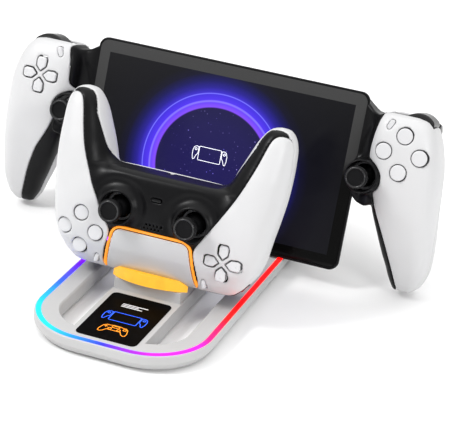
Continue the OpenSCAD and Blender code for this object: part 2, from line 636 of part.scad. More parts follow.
on_console() console_stick(-1);  // console_stick_left
on_console() console_stick_gimbal(1);  // console_stick_right_gimbal
on_console() console_stick(1);  // console_stick_right
on_console() console_bumper(-1);  // console_bumper_left
on_console() console_bumper(1);  // console_bumper_right
on_console() console_trigger(-1);  // console_trigger_left
on_console() console_trigger(1);  // console_trigger_right
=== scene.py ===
import math

import bmesh
import bpy
import numpy as np
from mathutils import Matrix, Vector


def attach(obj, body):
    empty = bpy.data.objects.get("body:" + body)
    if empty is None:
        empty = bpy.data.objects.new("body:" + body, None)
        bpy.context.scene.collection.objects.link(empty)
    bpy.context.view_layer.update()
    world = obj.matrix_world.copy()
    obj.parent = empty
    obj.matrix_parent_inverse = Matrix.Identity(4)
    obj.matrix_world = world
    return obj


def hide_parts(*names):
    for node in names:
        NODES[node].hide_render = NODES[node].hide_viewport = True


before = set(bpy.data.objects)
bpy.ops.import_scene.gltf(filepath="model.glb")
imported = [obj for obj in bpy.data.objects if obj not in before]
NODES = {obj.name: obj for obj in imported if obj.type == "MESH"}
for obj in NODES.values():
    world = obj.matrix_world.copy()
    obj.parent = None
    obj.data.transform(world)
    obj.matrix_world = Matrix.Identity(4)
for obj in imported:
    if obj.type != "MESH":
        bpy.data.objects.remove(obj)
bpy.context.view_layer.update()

# A charging dock with a gamepad in its front cradle and a handheld console in its rear one. Shapes are in
# millimetres, in the frame of the thing that they belong to: x across, y up the face and z out of it for the
# two leaning devices, and the world's own axes for the dock. Most shells are distance fields: negative
# inside, joined by smin, cut by smax, and meshed on a grid.
MM = 0.001

# ---------------------------------------------------------------- camera
AZ, EL, ROLL = math.radians(19.461), math.radians(25.422), math.radians(4.801)
cam_back = Vector((math.sin(AZ) * math.cos(EL), -math.cos(AZ) * math.cos(EL), math.sin(EL)))
cam_right = Vector((math.cos(AZ), math.sin(AZ), 0))
cam_up = cam_back.cross(cam_right)
r_ = math.cos(ROLL) * cam_right + math.sin(ROLL) * cam_up
u_ = -math.sin(ROLL) * cam_right + math.cos(ROLL) * cam_up
cam = bpy.data.cameras.new("camera")
cam_ob = bpy.data.objects.new("camera", cam)
bpy.context.scene.collection.objects.link(cam_ob)
CP = Vector((451.06, -1171.18, 656.78)) * MM
cam_ob.matrix_world = Matrix(((r_.x, u_.x, cam_back.x, CP.x), (r_.y, u_.y, cam_back.y, CP.y),
                              (r_.z, u_.z, cam_back.z, CP.z), (0, 0, 0, 1)))
cam.sensor_width = 36
cam.sensor_fit = "HORIZONTAL"
cam.lens = 161.69
cam.clip_start = 0.05
bpy.context.scene.camera = cam_ob


# ---------------------------------------------------------------- the two leaning frames
def leaning(y, z, lean):
    l = math.radians(lean)
    return Matrix(((1, 0, 0, 0), (0, math.sin(l), -math.cos(l), y * MM),
                   (0, math.cos(l), math.sin(l), z * MM), (0, 0, 0, 1)))


PAD = leaning(-35.1, 22.4, 12.0)
CON = leaning(70.5, 74.8, 17.9)
DOCK = Matrix.Identity(4)


# ---------------------------------------------------------------- materials
def material(name):
    m = bpy.data.materials.new(name)
    m.use_nodes = True
    return m, m.node_tree.nodes, m.node_tree.links, m.node_tree.nodes["Principled BSDF"]


def dial(node, values):
    """Sets a node's inputs by name or number."""
    for k, value in values.items():
        node.inputs[k].default_value = value


def grain(nt, ln, scale, detail=4.0):
    tc = nt.new("ShaderNodeTexCoord")
    n = nt.new("ShaderNodeTexNoise")
    dial(n, {"Scale": scale, "Detail": detail})
    ln.new(tc.outputs["Object"], n.inputs["Vector"])
    return n


def bumps(nt, ln, bsdf, height, dist, strength=0.4):
    b = nt.new("ShaderNodeBump")
    dial(b, {"Distance": dist, "Strength": strength})
    ln.new(height, b.inputs["Height"])
    ln.new(b.outputs["Normal"], bsdf.inputs["Normal"])
    return b


def ramp(nt, ln, fac, stops):
    r = nt.new("ShaderNodeValToRGB")
    r.color_ramp.interpolation = "LINEAR"
    while len(r.color_ramp.elements) < len(stops):
        r.color_ramp.elements.new(0.5)
    for e, (p, c) in zip(r.color_ramp.elements, stops):
        e.position = p
        e.color = c if len(c) == 4 else (*c, 1)
    ln.new(fac, r.inputs["Fac"])
    return r


def feed(nt, ln, b, socket, fac, stops):
    """A ramp over fac between two or more values, led into one socket of the shader."""
    r = ramp(nt, ln, fac, [(at, c if isinstance(c, tuple) else (c,) * 3) for at, c in stops])
    ln.new(r.outputs["Color"], b.inputs[socket])


def moulded(name, col, rough, spec=0.5, coat=0.0, fine=1800.0, dist=0.00002, mottle=0.03, strength=0.35):
    """Moulded plastic: fine spark texture, slight unevenness of colour and gloss."""
    m, nt, ln, b = material(name)
    big = grain(nt, ln, 18.0, 3.0)
    lo = tuple(max(0, c * (1 - mottle)) for c in col)
    hi = tuple(min(1, c * (1 + mottle)) for c in col)
    feed(nt, ln, b, "Base Color", big.outputs["Fac"], [(0.3, lo), (0.7, hi)])
    mid = grain(nt, ln, 240.0, 3.0)
    feed(nt, ln, b, "Roughness", mid.outputs["Fac"], [(0.3, rough * 0.9), (0.7, min(1, rough * 1.1))])
    tiny = grain(nt, ln, fine, 2.0)
    bumps(nt, ln, b, tiny.outputs["Fac"], dist, strength)
    dial(b, {"Specular IOR Level": spec, "Coat Weight": coat, "Coat Roughness": 0.12})
    return m


WHITE = moulded("shell_white_plastic", (0.575, 0.575, 0.58), 0.42)
DOCKW = moulded("dock_white_plastic", (0.47, 0.468, 0.468), 0.5, fine=1400.0)
KEYW = moulded("key_white_plastic", (0.60, 0.60, 0.61), 0.22, coat=0.4, dist=0.000008)
TOUCHW = moulded("touch_white_plastic", (0.54, 0.54, 0.54), 0.38, fine=1000.0, dist=0.00004)
BLACK = moulded("frame_black_plastic", (0.003, 0.003, 0.0035), 0.34, spec=0.16, mottle=0.15, fine=1500.0)
GLOSSB = moulded("shoulder_black_plastic", (0.003, 0.003, 0.0035), 0.2, spec=0.25, mottle=0.1)
RUBBER = moulded("stick_rubber", (0.003, 0.003, 0.0035), 0.55, spec=0.13, mottle=0.2, fine=900.0,
                 dist=0.00008, strength=0.6)
FOOT = moulded("foot_rubber", (0.03, 0.03, 0.03), 0.8, mottle=0.2, fine=700.0, dist=0.0001)
PIVOT = moulded("pivot_plastic", (0.05, 0.05, 0.055), 0.45)
PANEL = moulded("panel_black_glass", (0.0008, 0.0008, 0.001), 0.35, spec=0.02, dist=0.000004, mottle=0.1)
# a little lighter than the stick rubber and glossier: the lighter colour is a painted highlight on the cap's
# rim
RIM_HIGHLIGHT_RING = moulded("stick_ring_satin_painted_highlight", (0.012, 0.012, 0.013), 0.28, spec=0.5, mottle=0.1)
# near black: painted shade in the gaps round the keys and direction pads, and the dark sheet behind the
# speaker holes
GAP_SHADE_AND_FELT = moulded("key_gap_painted_shade_and_speaker_felt", (0.012, 0.012, 0.013), 0.6, spec=0.1)
BATT = moulded("battery_wrap", (0.22, 0.24, 0.28), 0.4, coat=0.4)


def metal(name):
    m, nt, ln, b = material(name)
    n = grain(nt, ln, 900.0, 5.0)
    feed(nt, ln, b, "Base Color", n.outputs["Fac"], [(0.3, (0.55, 0.56, 0.58)), (0.7, (0.75, 0.75, 0.76))])
    feed(nt, ln, b, "Roughness", n.outputs["Fac"], [(0.3, 0.22), (0.7, 0.4)])
    b.inputs["Metallic"].default_value = 1.0
    return m


STEEL = metal("brushed_steel")


def board():
    m, nt, ln, b = material("circuit_board")
    tc = nt.new("ShaderNodeTexCoord")
    v = nt.new("ShaderNodeTexVoronoi")
    v.feature = "DISTANCE_TO_EDGE"
    v.inputs["Scale"].default_value = 260.0
    ln.new(tc.outputs["Object"], v.inputs["Vector"])
    stops = [(0.0, (0.1, 0.32, 0.14)), (0.12, (0.02, 0.13, 0.06))]
    feed(nt, ln, b, "Base Color", v.outputs["Distance"], stops)
    b.inputs["Roughness"].default_value = 0.35
    bumps(nt, ln, b, v.outputs["Distance"], 0.00005)
    return m


BOARD = board()


def glow(name, col, power, base):
    m, nt, ln, b = material(name)
    n = grain(nt, ln, 120.0, 2.0)
    feed(nt, ln, b, "Emission Color", n.outputs["Fac"], [(0.3, tuple(c * 0.86 for c in col)), (0.7, col)])
    feed(nt, ln, b, "Base Color", n.outputs["Fac"], [(0.3, tuple(c * 0.9 for c in base)), (0.7, base)])
    dial(b, {"Emission Strength": power, "Roughness": 0.5})
    return m


AMBER = glow("amber_light", (1.0, 0.30, 0.012), 1.0, (0.4, 0.16, 0.02))
LIP = glow("amber_lip", (1.0, 0.50, 0.012), 0.8, (0.4, 0.2, 0.02))


def strip_light():
    """The light strip: colour runs round the dock, by the angle round a point on its middle line."""
    m, nt, ln, b = material("light_strip")
    tc = nt.new("ShaderNodeTexCoord")
    sep = nt.new("ShaderNodeSeparateXYZ")
    ln.new(tc.outputs["Object"], sep.inputs[0])
    add = nt.new("ShaderNodeMath")
    add.operation = "ADD"
    add.inputs[1].default_value = 0.06
    ln.new(sep.outputs["Y"], add.inputs[0])
    neg = nt.new("ShaderNodeMath")
    neg.operation = "MULTIPLY"
    neg.inputs[1].default_value = -1
    ln.new(add.outputs[0], neg.inputs[0])
    at = nt.new("ShaderNodeMath")
    at.operation = "ARCTAN2"
    ln.new(sep.outputs["X"], at.inputs[0])
    ln.new(neg.outputs[0], at.inputs[1])
    mp = nt.new("ShaderNodeMapRange")
    dial(mp, {"From Min": -math.pi, "From Max": math.pi})
    ln.new(at.outputs[0], mp.inputs["Value"])
    stops = [(0.0, (1.0, 0.0, 0.0)), (0.10, (0.25, 0.0, 0.9)), (0.165, (0.06, 0.0, 1.0)),
             (0.235, (0.01, 0.06, 1.0)), (0.30, (0.0, 0.25, 0.7)), (0.345, (0.0, 0.42, 0.5)),
             (0.39, (0.0, 0.40, 0.5)), (0.45, (0.0, 0.14, 0.9)), (0.505, (0.01, 0.01, 1.0)),
             (0.565, (0.22, 0.0, 0.9)), (0.63, (0.6, 0.0, 0.65)), (0.70, (0.9, 0.0, 0.12)),
             (0.78, (1.0, 0.0, 0.0)), (1.0, (1.0, 0.0, 0.0))]
    feed(nt, ln, b, "Emission Color", mp.outputs["Result"], stops)
    dial(b, {"Emission Strength": 2.8, "Base Color": (0.02, 0.02, 0.02, 1), "Roughness": 0.5,
             "Specular IOR Level": 0.1})
    return m


STRIP = strip_light()


# ---------------------------------------------------------------- shapes from distance fields
def pchip(x, xs, ys):
    xs, ys = np.asarray(xs, float), np.asarray(ys, float)
    o = np.argsort(xs)
    xs, ys = xs[o], ys[o]
    h = np.diff(xs)
    d = np.diff(ys) / h
    m = np.zeros_like(xs)
    w1, w2 = 2 * h[1:] + h[:-1], h[1:] + 2 * h[:-1]
    ok = d[1:] * d[:-1] > 0
    with np.errstate(divide="ignore", invalid="ignore"):
        mm = (w1 + w2) / (w1 / d[:-1] + w2 / d[1:])
    m[1:-1] = np.where(ok, mm, 0)
    m[0], m[-1] = d[0], d[-1]
    x = np.clip(x, xs[0], xs[-1])
    i = np.clip(np.searchsorted(xs, x) - 1, 0, len(h) - 1)
    t = (x - xs[i]) / h[i]
    return ((1 + 2 * t) * (1 - t) ** 2 * ys[i] + t * (1 - t) ** 2 * h[i] * m[i]
            + t * t * (3 - 2 * t) * ys[i + 1] + t * t * (t - 1) * h[i] * m[i + 1])


def smin(a, b, k):
    h = np.clip(0.5 + 0.5 * (b - a) / k, 0, 1)
    return b + (a - b) * h - k * h * (1 - h)


def smax(a, b, k=0.35):
    return -smin(-a, -b, k)


class Grid:
    def __init__(self, lo, hi, h):
        self.lo, self.h = np.array(lo, float), h
        n = np.ceil((np.array(hi, float) - self.lo) / h).astype(int) + 1
        ax = [(self.lo[i] + h * np.arange(n[i])).astype(np.float32) for i in range(3)]
        self.x, self.y, self.z = ax[0][:, None, None], ax[1][None, :, None], ax[2][None, None, :]
        self.shape = tuple(n)

    def with_x(self, u):
        """The same grid read with u in place of x, as for a shape that is mirrored."""
        g = Grid.__new__(Grid)
        g.x, g.y, g.z, g.shape, g.h = u, self.y, self.z, self.shape, self.h
        return g

    def even(self, f):
        """A field turned into a distance by its own slope."""
        f = np.broadcast_to(f, self.shape).astype(np.float32)
        gx, gy, gz = np.gradient(f, self.h)
        return f / np.maximum(np.sqrt(gx * gx + gy * gy + gz * gz), 0.45)

    def loft(self, u, rows, n, k=1.5):
        """rows: [y, x0, z0, half width, half depth]"""
        r = np.array(rows, float)
        y = self.y.ravel()
        x0, z0, w, hh = [pchip(y, r[:, 0], r[:, i])[None, :, None].astype(np.float32) for i in (1, 2, 3, 4)]
        a, b = u - x0, self.z - z0
        g = (np.abs(a / w) ** n + np.abs(b / hh) ** n) ** (1.0 / n) + 1e-4
        f = self.even(np.sqrt(a * a + b * b + 1e-4) * (1 - 1 / g))
        return smax(smax(f, r[:, 0].min() - self.y, k), self.y - r[:, 0].max(), k)

    def poly(self, pts, u=None, v=None, cuts=6, smooth=True):
        """Distance in the x-y plane to a closed outline; negative inside."""
        p = np.array(pts, float)
        if smooth:
            n = len(p)
            out = []
            for i in range(n):
                a, b, c, d = p[i - 1], p[i], p[(i + 1) % n], p[(i + 2) % n]
                for t in np.arange(cuts) / cuts:
                    out.append(0.5 * ((2 * b) + (c - a) * t + (2 * a - 5 * b + 4 * c - d) * t * t
                                      + (3 * b - a - 3 * c + d) * t ** 3))
            p = np.array(out)
        u = self.x[:, :, 0] if u is None else u
        v = self.y[:, :, 0] if v is None else v
        u, v = np.broadcast_arrays(u, v)
        d = np.full(u.shape, 1e9)
        inside = np.zeros(u.shape, bool)
        for a, b in zip(p, np.roll(p, -1, 0)):
            e = b - a
            t = np.clip(((u - a[0]) * e[0] + (v - a[1]) * e[1]) / (e @ e + 1e-12), 0, 1)
            d = np.minimum(d, (u - a[0] - t * e[0]) ** 2 + (v - a[1] - t * e[1]) ** 2)
            c = (a[1] > v) != (b[1] > v)
            with np.errstate(divide="ignore", invalid="ignore"):
                xx = (b[0] - a[0]) * (v - a[1]) / (b[1] - a[1] + 1e-12) + a[0]
            inside ^= c & (u < xx)
        d = np.sqrt(d)
        return np.where(inside, -d, d).astype(np.float32)[:, :, None]

    def disc(self, cx, cy, r):
        return np.sqrt((self.x - cx) ** 2 + (self.y - cy) ** 2) - r

    def pill(self, cx, cy, length, width, deg):
        c, s = math.cos(math.radians(deg)), math.sin(math.radians(deg))
        a = (self.x - cx) * c + (self.y - cy) * s
        b = -(self.x - cx) * s + (self.y - cy) * c
        a = np.maximum(np.abs(a) - (length - width) / 2, 0)
        return np.sqrt(a * a + b * b) - width / 2

    def box(self, x0, x1, y0, y1, z0, z1, r=0.0):
        q = [np.abs(a - (lo + hi) / 2) - (hi - lo) / 2 + r
             for a, lo, hi in ((self.x, x0, x1), (self.y, y0, y1), (self.z, z0, z1))]
        out = np.sqrt(np.maximum(q[0], 0) ** 2 + np.maximum(q[1], 0) ** 2 + np.maximum(q[2], 0) ** 2)
        return out + np.minimum(np.maximum(np.maximum(q[0], q[1]), q[2]), 0) - r

    def mesh(self, f):
        """Surface nets: one point in every cell that the surface crosses."""
        f = np.broadcast_to(f, self.shape).astype(np.float32)
        s = f < 0
        n = np.array(self.shape) - 1
        corner = [(i, j, k) for i in (0, 1) for j in (0, 1) for k in (0, 1)]
        cnt = np.zeros(n, np.int8)
        for i, j, k in corner:
            cnt += s[i:i + n[0], j:j + n[1], k:k + n[2]]
        cell = np.argwhere((cnt > 0) & (cnt < 8))
        val = np.stack([f[cell[:, 0] + i, cell[:, 1] + j, cell[:, 2] + k] for i, j, k in corner], 1)
        pos, tot = np.zeros((len(cell), 3)), np.zeros(len(cell))
        cc = np.array(corner, float)
        for a in range(8):
            for b in range(a + 1, 8):
                if np.abs(cc[a] - cc[b]).sum() == 1:
                    va, vb = val[:, a], val[:, b]
                    hit = (va < 0) != (vb < 0)
                    t = np.where(hit, va / np.where(hit, va - vb, 1), 0)
                    pos += hit[:, None] * (cc[a] + t[:, None] * (cc[b] - cc[a]))
                    tot += hit
        pos = pos / tot[:, None] + cell
        index = np.full(n, -1, np.int32)
        index[tuple(cell.T)] = np.arange(len(cell))
        quads = []
        for ax in range(3):
            o1, o2 = [(1, 2), (2, 0), (0, 1)][ax]
            sl = [slice(1, -1)] * 3
            lo_, hi_ = list(sl), list(sl)
            lo_[ax], hi_[ax] = slice(0, self.shape[ax] - 1), slice(1, self.shape[ax])
            A, B = s[tuple(lo_)], s[tuple(hi_)]
            e = np.argwhere(A != B)
            flip = B[tuple(e.T)]
            off = np.array([1, 1, 1]); off[ax] = 0
            e = e + off
            d1, d2 = np.zeros(3, int), np.zeros(3, int)
            d1[o1], d2[o2] = 1, 1
            q = np.stack([index[tuple((e - d1 - d2).T)], index[tuple((e - d2).T)], index[tuple(e.T)],
                          index[tuple((e - d1).T)]], 1)
            q[flip] = q[flip][:, ::-1]
            quads.append(q)
        return pos * self.h + self.lo, np.concatenate(quads)


def put(name, verts, faces, mat, where=DOCK, body="dock", nodes=(), sharp=None):
    """A mesh piece from points in millimetres."""
    me = bpy.data.meshes.new(name)
    v = np.asarray(verts, np.float64) * MM
    if isinstance(faces, np.ndarray):
        me.vertices.add(len(v))
        me.vertices.foreach_set("co", v.ravel())
        me.loops.add(faces.size)
        me.loops.foreach_set("vertex_index", faces.ravel().astype(np.int32))
        me.polygons.add(len(faces))
        starts = np.arange(len(faces), dtype=np.int32) * faces.shape[1]
        me.polygons.foreach_set("loop_start", starts)
        me.update(calc_edges=True)
    else:
        me.from_pydata([tuple(p) for p in v], [], faces)
    me.validate()
    ob = bpy.data.objects.new(name, me)
    bpy.context.scene.collection.objects.link(ob)
    ob.matrix_world = where
    me.materials.append(mat)
    me.shade_smooth()
    if sharp is not None:
        me.set_sharp_from_angle(angle=math.radians(sharp))
    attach(ob, body)
    if nodes:
        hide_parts(*nodes)
    return ob


def thin(ob, ratio):
    """Fewer faces where the surface is plain."""
    m = ob.modifiers.new("thin", "DECIMATE")
    m.ratio = ratio
    dg = bpy.context.evaluated_depsgraph_get()
    me = bpy.data.meshes.new_from_object(ob.evaluated_get(dg))
    ob.modifiers.remove(m)
    old = ob.data
    ob.data = me
    bpy.data.meshes.remove(old)
    me.shade_smooth()
    return ob


def field(name, grid, f, mat, where, body, nodes=(), ratio=None):
    """A piece from a distance field, thinned to a share of its triangles."""
    v, q = grid.mesh(f)
    ob = put(name, v, q, mat, where, body, nodes)
    return thin(ob, ratio) if ratio else ob


def lathe(profile, n=64, at=(0, 0, 0)):
    """Closed solid of revolution about z: profile is a list of (r, z) from the axis round to the axis."""
    v, fcs, ring = [], [], []
    for r, z in profile:
        if r < 1e-6:
            ring.append([len(v)]); v.append((at[0], at[1], at[2] + z))
        else:
            ring.append(list(range(len(v), len(v) + n)))
            v += [(at[0] + r * math.cos(2 * math.pi * i / n), at[1] + r * math.sin(2 * math.pi * i / n),
                   at[2] + z) for i in range(n)]
    for a, b in zip(ring, ring[1:]):
        for i in range(n):
            j = (i + 1) % n
            if len(a) == 1 and len(b) > 1:
                fcs.append((a[0], b[i], b[j]))
            elif len(b) == 1 and len(a) > 1:
                fcs.append((a[i], b[0], a[j]))
            elif len(a) > 1 and len(b) > 1:
                fcs.append((a[i], b[i], b[j], a[j]))
    return v, fcs


def round_rect(w, l, r, n=12):
    p = []
    for cx, cy, a in ((1, 1, 0), (-1, 1, 90), (-1, -1, 180), (1, -1, 270)):
        for i in range(n + 1):
            t = math.radians(a + 90 * i / n)
            p.append((cx * (w / 2 - r) + r * math.cos(t), cy * (l / 2 - r) + r * math.sin(t)))
    return p


def slab(levels, n=12):
    """Closed solid from rounded rectangles: levels are (w, l, r, z) from the bottom up."""
    v, f, m = [], [], None
    for w, l, r, z in levels:
        p = round_rect(w, l, r, n)
        m = len(p)
        v += [(x, y, z) for x, y in p]
    for k in range(len(levels) - 1):
        for i in range(m):
            j = (i + 1) % m
            f.append((k * m + i, k * m + j, (k + 1) * m + j, (k + 1) * m + i))
    f.append(tuple(range(m - 1, -1, -1)))
    f.append(tuple(range((len(levels) - 1) * m, len(levels) * m)))
    return v, f


def hull2(pts):
    """The convex outline round some points."""
    pts = sorted(set(pts))

    def turn(a, b, c):
        return (b[0] - a[0]) * (c[1] - a[1]) - (b[1] - a[1]) * (c[0] - a[0])

    def half(seq):
        out = []
        for p in seq:
            while len(out) > 1 and turn(out[-2], out[-1], p) <= 0:
                out.pop()
            out.append(p)
        return out[:-1]
    return half(pts) + half(pts[::-1])


def tidy_normals(ob):
    bm = bmesh.new()
    bm.from_mesh(ob.data)
    bmesh.ops.recalc_face_normals(bm, faces=bm.faces)
    bm.to_mesh(ob.data)
    bm.free()
    return ob


def paint(mat, *names):
    """A CAD node that keeps its shape gets its finish."""
    for n in names:
        me = NODES[n].data
        me.materials.clear()
        me.materials.append(mat)
        me.shade_smooth()
        me.set_sharp_from_angle(angle=math.radians(30))


# ---------------------------------------------------------------- dock
paint(DOCKW, "dock_base", "dock_bottom_cover", "dock_cradle", "dock_stand")
paint(FOOT, "dock_feet")
paint(BOARD, "dock_board", "pad_board", "console_board")
paint(STEEL, "dock_plugs", "pad_motors")
paint(BATT, "pad_battery", "console_battery")
paint(PIVOT, "pad_dpad_pivot", "console_dpad_pivot", "pad_stick_left_gimbal", "pad_stick_right_gimbal",
      "console_stick_left_gimbal", "console_stick_right_gimbal")
paint(PANEL, "dock_panel")
paint(LIP, "dock_cradle_lip")

DW, DL, DR = 124.0, 242.0, 43.5
DTOP = 13.2

# the strip's crowned cover, by its section: how far in from the outer wall, and how far above the rim
STRIP_SECTION = [(1.4, -1.5), (1.4, 0.02), (0.9, 0.02), (0.9, 0.28), (1.3, 0.5),
                 (4.1, 0.5), (4.5, 0.28), (4.5, 0.02), (3.8, 0.02), (3.8, -1.5)]
v, f, m = [], [], 0
for d, z in STRIP_SECTION:
    loop = round_rect(DW - 2 * d, DL - 2 * d, DR - d, 20)
    m = len(loop)
    v += [(x, y, DTOP + z) for x, y in loop]
for k in range(len(STRIP_SECTION)):
    a, b = k * m, (k + 1) % len(STRIP_SECTION) * m
    f += [(a + i, a + (i + 1) % m, b + (i + 1) % m, b + i) for i in range(m)]
tidy_normals(put("dock_light_cover", v, f, STRIP, DOCK, "dock", ("dock_light_strip",), 40))

# ---------------------------------------------------------------- controller
PAD_ROWS = [(72, 41, 10, -11), (69.4, 45.3, 12.6, -14), (64, 51.5, 14.2, -17), (53.6, 61.8, 15.6, -20),
            (42.2, 70, 16, -22), (29.9, 73, 15.8, -23), (19.6, 71, 14.2, -23), (11.3, 66.6, 11, -22),
            (5.2, 61.5, 7.4, -19), (1.5, 57, 3.2, -16), (0, 52, 0, -13)]
PAD_MID = [(y, 0, (f + b) / 2, w, (f - b) / 2) for y, w, f, b in PAD_ROWS]
PAD_HANDLE = [(117.5, 69.5, -12, 2, 3), (115.4, 69.3, -12, 6.6, 8.3), (111.6, 69, -12, 10, 12),
              (104.6, 68, -12, 13.2, 15), (93.7, 66, -11.2, 15.8, 17.8), (81.4, 63.4, -9.4, 18.4, 20),
              (69, 60.9, -7.4, 20.3, 20.6), (55.6, 58.5, -4.8, 21.2, 20.2), (42.2, 55.8, -3.1, 21.8, 19),
              (29.9, 54, -3.6, 19.6, 18), (20.6, 52.5, -4.1, 15.5, 14.9), (12.4, 51.5, -4.1, 8.2, 8.2)]
PAD_PLATE = [(36, -4), (34.5, 8), (33, 16.5), (30.5, 28.4), (34.4, 37), (45, 54), (55, 73.5), (61.5, 90.5),
             (66, 106), (68.5, 111.4), (72, 113.4), (76.5, 112.4), (82, 107), (92, 92), (92, 0), (72, -4)]
TOUCH = hull2([(-33.4, -4.0), (33.4, -4.0), (32.8, 1.0), (-32.8, 1.0)]
              + [(s * 21.4 + 6.2 * math.cos(a), 26.4 + 6.2 * math.sin(a)) for s in (-1, 1)
                 for a in np.linspace(0, 2 * math.pi, 48, endpoint=False).tolist()])
KX, KY, PITCH = 51.3, 25.7, 11.6
SX, SY, SZ, STOP = 26.8, 46.3, 7.0, 29.6
ARM = [(0, 2.6), (3.4, 6), (3.6, 10.6), (2.6, 12.6), (-2.6, 12.6), (-3.6, 10.6), (-3.4, 6)]


def arms(grid, cx, cy, grow):
    d = None
    for q in range(4):
        c, s = [(1, 0), (0, 1), (-1, 0), (0, -1)][q]
        e = grid.poly([(cx + x * c - y * s, cy + x * s + y * c) for x, y in ARM], smooth=False)
        d = e if d is None else np.minimum(d, e)
    return d - grow


def side_grid(lo, hi, s, h):
    """A grid for one side: s is 1 for the right and -1 for its mirror image."""
    return Grid(lo if s > 0 else (-hi[0], lo[1], lo[2]), hi if s > 0 else (-lo[0], hi[1], hi[2]), h)


def four_round(x, y, pitch):
    """Centres of four round keys: right, top, left and bottom."""
    return [(x + pitch * math.cos(math.pi / 2 * i), y + pitch * math.sin(math.pi / 2 * i)) for i in range(4)]


def pad_form(g):
    u = np.abs(g.x)
    return smin(g.loft(g.x, PAD_MID, 4.5, 2.2), g.loft(u, PAD_HANDLE, 2.3, 2.5), 7.0)


def pad_rooms(g, f):
    """Room for the bumpers and triggers under the lower edge."""
    u = np.abs(g.x)
    g2 = g.with_x(u)
    a = g2.box(37.6, 68.4, -14, 10.9, -11.6, -1.1, 1.0)
    b = g2.box(37.4, 59.8, -16, 14.8, -41, -13.2, 1.0)
    return smax(f, -np.minimum(a, b), 0.5)


def row_at(rows, y, i):
    r = np.array(rows)[::-1]
    return float(np.interp(y, r[:, 0], r[:, i]))


def pad_face(x, y):
    f, b, w = [row_at(PAD_ROWS, y, i) for i in (2, 3, 1)]
    return (f + b) / 2 + (f - b) / 2 * (1 - abs(x / w) ** 4.5) ** (1 / 4.5)


WALL = 2.2
HP = 0.8


def walled(f):
    """The outer wall of a solid, as a field."""
    return np.maximum(f, -(f + WALL))


def ease(t):
    t = np.clip(t, 0, 1)
    return t * t * (3 - 2 * t)


def pad_split(g, plate):
    """Height of the joint between the front pieces and the back shell: higher inside the handles."""
    lift = 6.5 * ease((g.y - 60) / 18) * ease((119 - g.y) / 20) * ease((np.abs(g.x) - 40) / 8)
    return -8.0 + np.where(plate > 0, lift, 0)


for side, sgn in (("right", 1), ("left", -1)):
    g = side_grid((26, -3, -10), (96, 116, 21), sgn, HP)
    F = pad_form(g)
    skin = walled(F)
    p = smax(skin, g.poly([(sgn * x, y) for x, y in PAD_PLATE], cuts=4) + 0.1, 0.6)
    p = smax(p, -7.9 - g.z, 0.5)
    if sgn > 0:
        p = smax(p, -arms(g, KX, KY, 0.8), 0.4)
    else:
        for x, y in four_round(-KX, KY, PITCH):
            p = smax(p, -g.disc(x, y, 5.6), 0.4)
    p = smax(p, -g.pill(sgn * 38.8, 7.6, 6.9, 3.3, 90 + sgn * 12), 0.4)
    p = pad_rooms(g, p)
    field("pad_plate_" + side + "_skin", g, p, WHITE, PAD, "controller", ("pad_plate_" + side,),
          0.5)

g = Grid((-88, -3, -10), (88, 118, 21), HP)
F = pad_form(g)
u = np.abs(g.x)
dist = np.sqrt((u - SX) ** 2 + (g.y - SY) ** 2)
collar = smax(dist - 12.3, g.z - 18.0, 2.6)
F2 = smin(F + 1.2 * np.exp(-((dist - 17.5) / 3.4) ** 2) * ease((g.z - 2) / 6), collar, 4.0)
plate = g.poly(PAD_PLATE, u=u[:, :, 0], cuts=4)
skin = np.maximum(F2, -(F + WALL))
skin = np.minimum(skin, np.maximum(smax(dist - 12.3, g.z - 17.0, 1.0), -4.5 - g.z))
p = smax(skin, -(plate - 0.2), 0.6)
p = smax(p, -(dist - 10.6), 0.9)
p = smax(p, -np.maximum(g.poly(TOUCH, smooth=False) - 2.2, -2.6 - g.z), 0.4)
p = smax(p, pad_split(g, plate) + 0.1 - g.z, 0.5)
p = smax(p, -g.pill(0, 57, 7.9, 3.1, 0), 0.4)
p = pad_rooms(g, p)
p = smax(p, -g.box(-4.7, 4.7, -12, 10, -9.2, -5.6, 0.8), 0.4)
p = smax(p, -np.maximum(np.sqrt(g.x ** 2 + (g.z + 6) ** 2) - 1.8, 62 - g.y), 0.3)
for i in range(-2, 3):
    for j in (0, 1):
        p = smax(p, -(g.disc(i * 2.6 + 1.3 * j - 0.6, 37.2 + 2.5 * j, 0.75)), 0.2)
field("pad_mid_frame_skin", g, p, BLACK, PAD, "controller", ("pad_mid_frame",), 0.6)

g = Grid((-96, -3, -27), (96, 120, 4), HP)
F = pad_form(g)
skin = walled(F)
plate = g.poly(PAD_PLATE, u=np.abs(g.x)[:, :, 0], cuts=4)
p = smax(skin, g.z - pad_split(g, plate) + 0.15, 0.5)
p = pad_rooms(g, p)
p = smax(p, -g.box(-4.7, 4.7, -12, 10, -9.2, -5.6, 0.8), 0.4)
field("pad_back_shell_skin", g, p, WHITE, PAD, "controller", ("pad_back_shell",), 0.45)

z = pad_face(0, 39)
v, f = slab([(18, 7, 1, z - 4.2), (18, 7, 1, z - 3.4)], 3)
ob = put("pad_speaker_felt", [(x, y + 38.6, q) for x, y, q in v], f, GAP_SHADE_AND_FELT, PAD, "controller", (),
         30)
tidy_normals(ob)

g = Grid((-38, -3, -5), (38, 38, 19), 0.55)
F = pad_form(g)
area = g.poly(TOUCH, smooth=False)
plate = g.poly(PAD_PLATE, u=np.abs(g.x)[:, :, 0], cuts=4)
p = smax(smax(F + 0.15, -(F + 1.4), 0.3), area + 0.15, 0.7)
p = smax(p, -2 - g.z, 0.3)
field("pad_touch_area", g, p, TOUCHW, PAD, "pad_touchpad_key", ("pad_touchpad",), 0.5)
p = smax(smax(F - 0.1, -(F + 2.0), 0.3), np.maximum(area - 2.0, 0.4 - area), 0.2)
p = np.maximum(np.maximum(p, 0.4 - g.y), -(plate - 0.2))
field("pad_light_ring", g, p, AMBER, PAD, "controller", ("pad_light_bar",), 0.6)


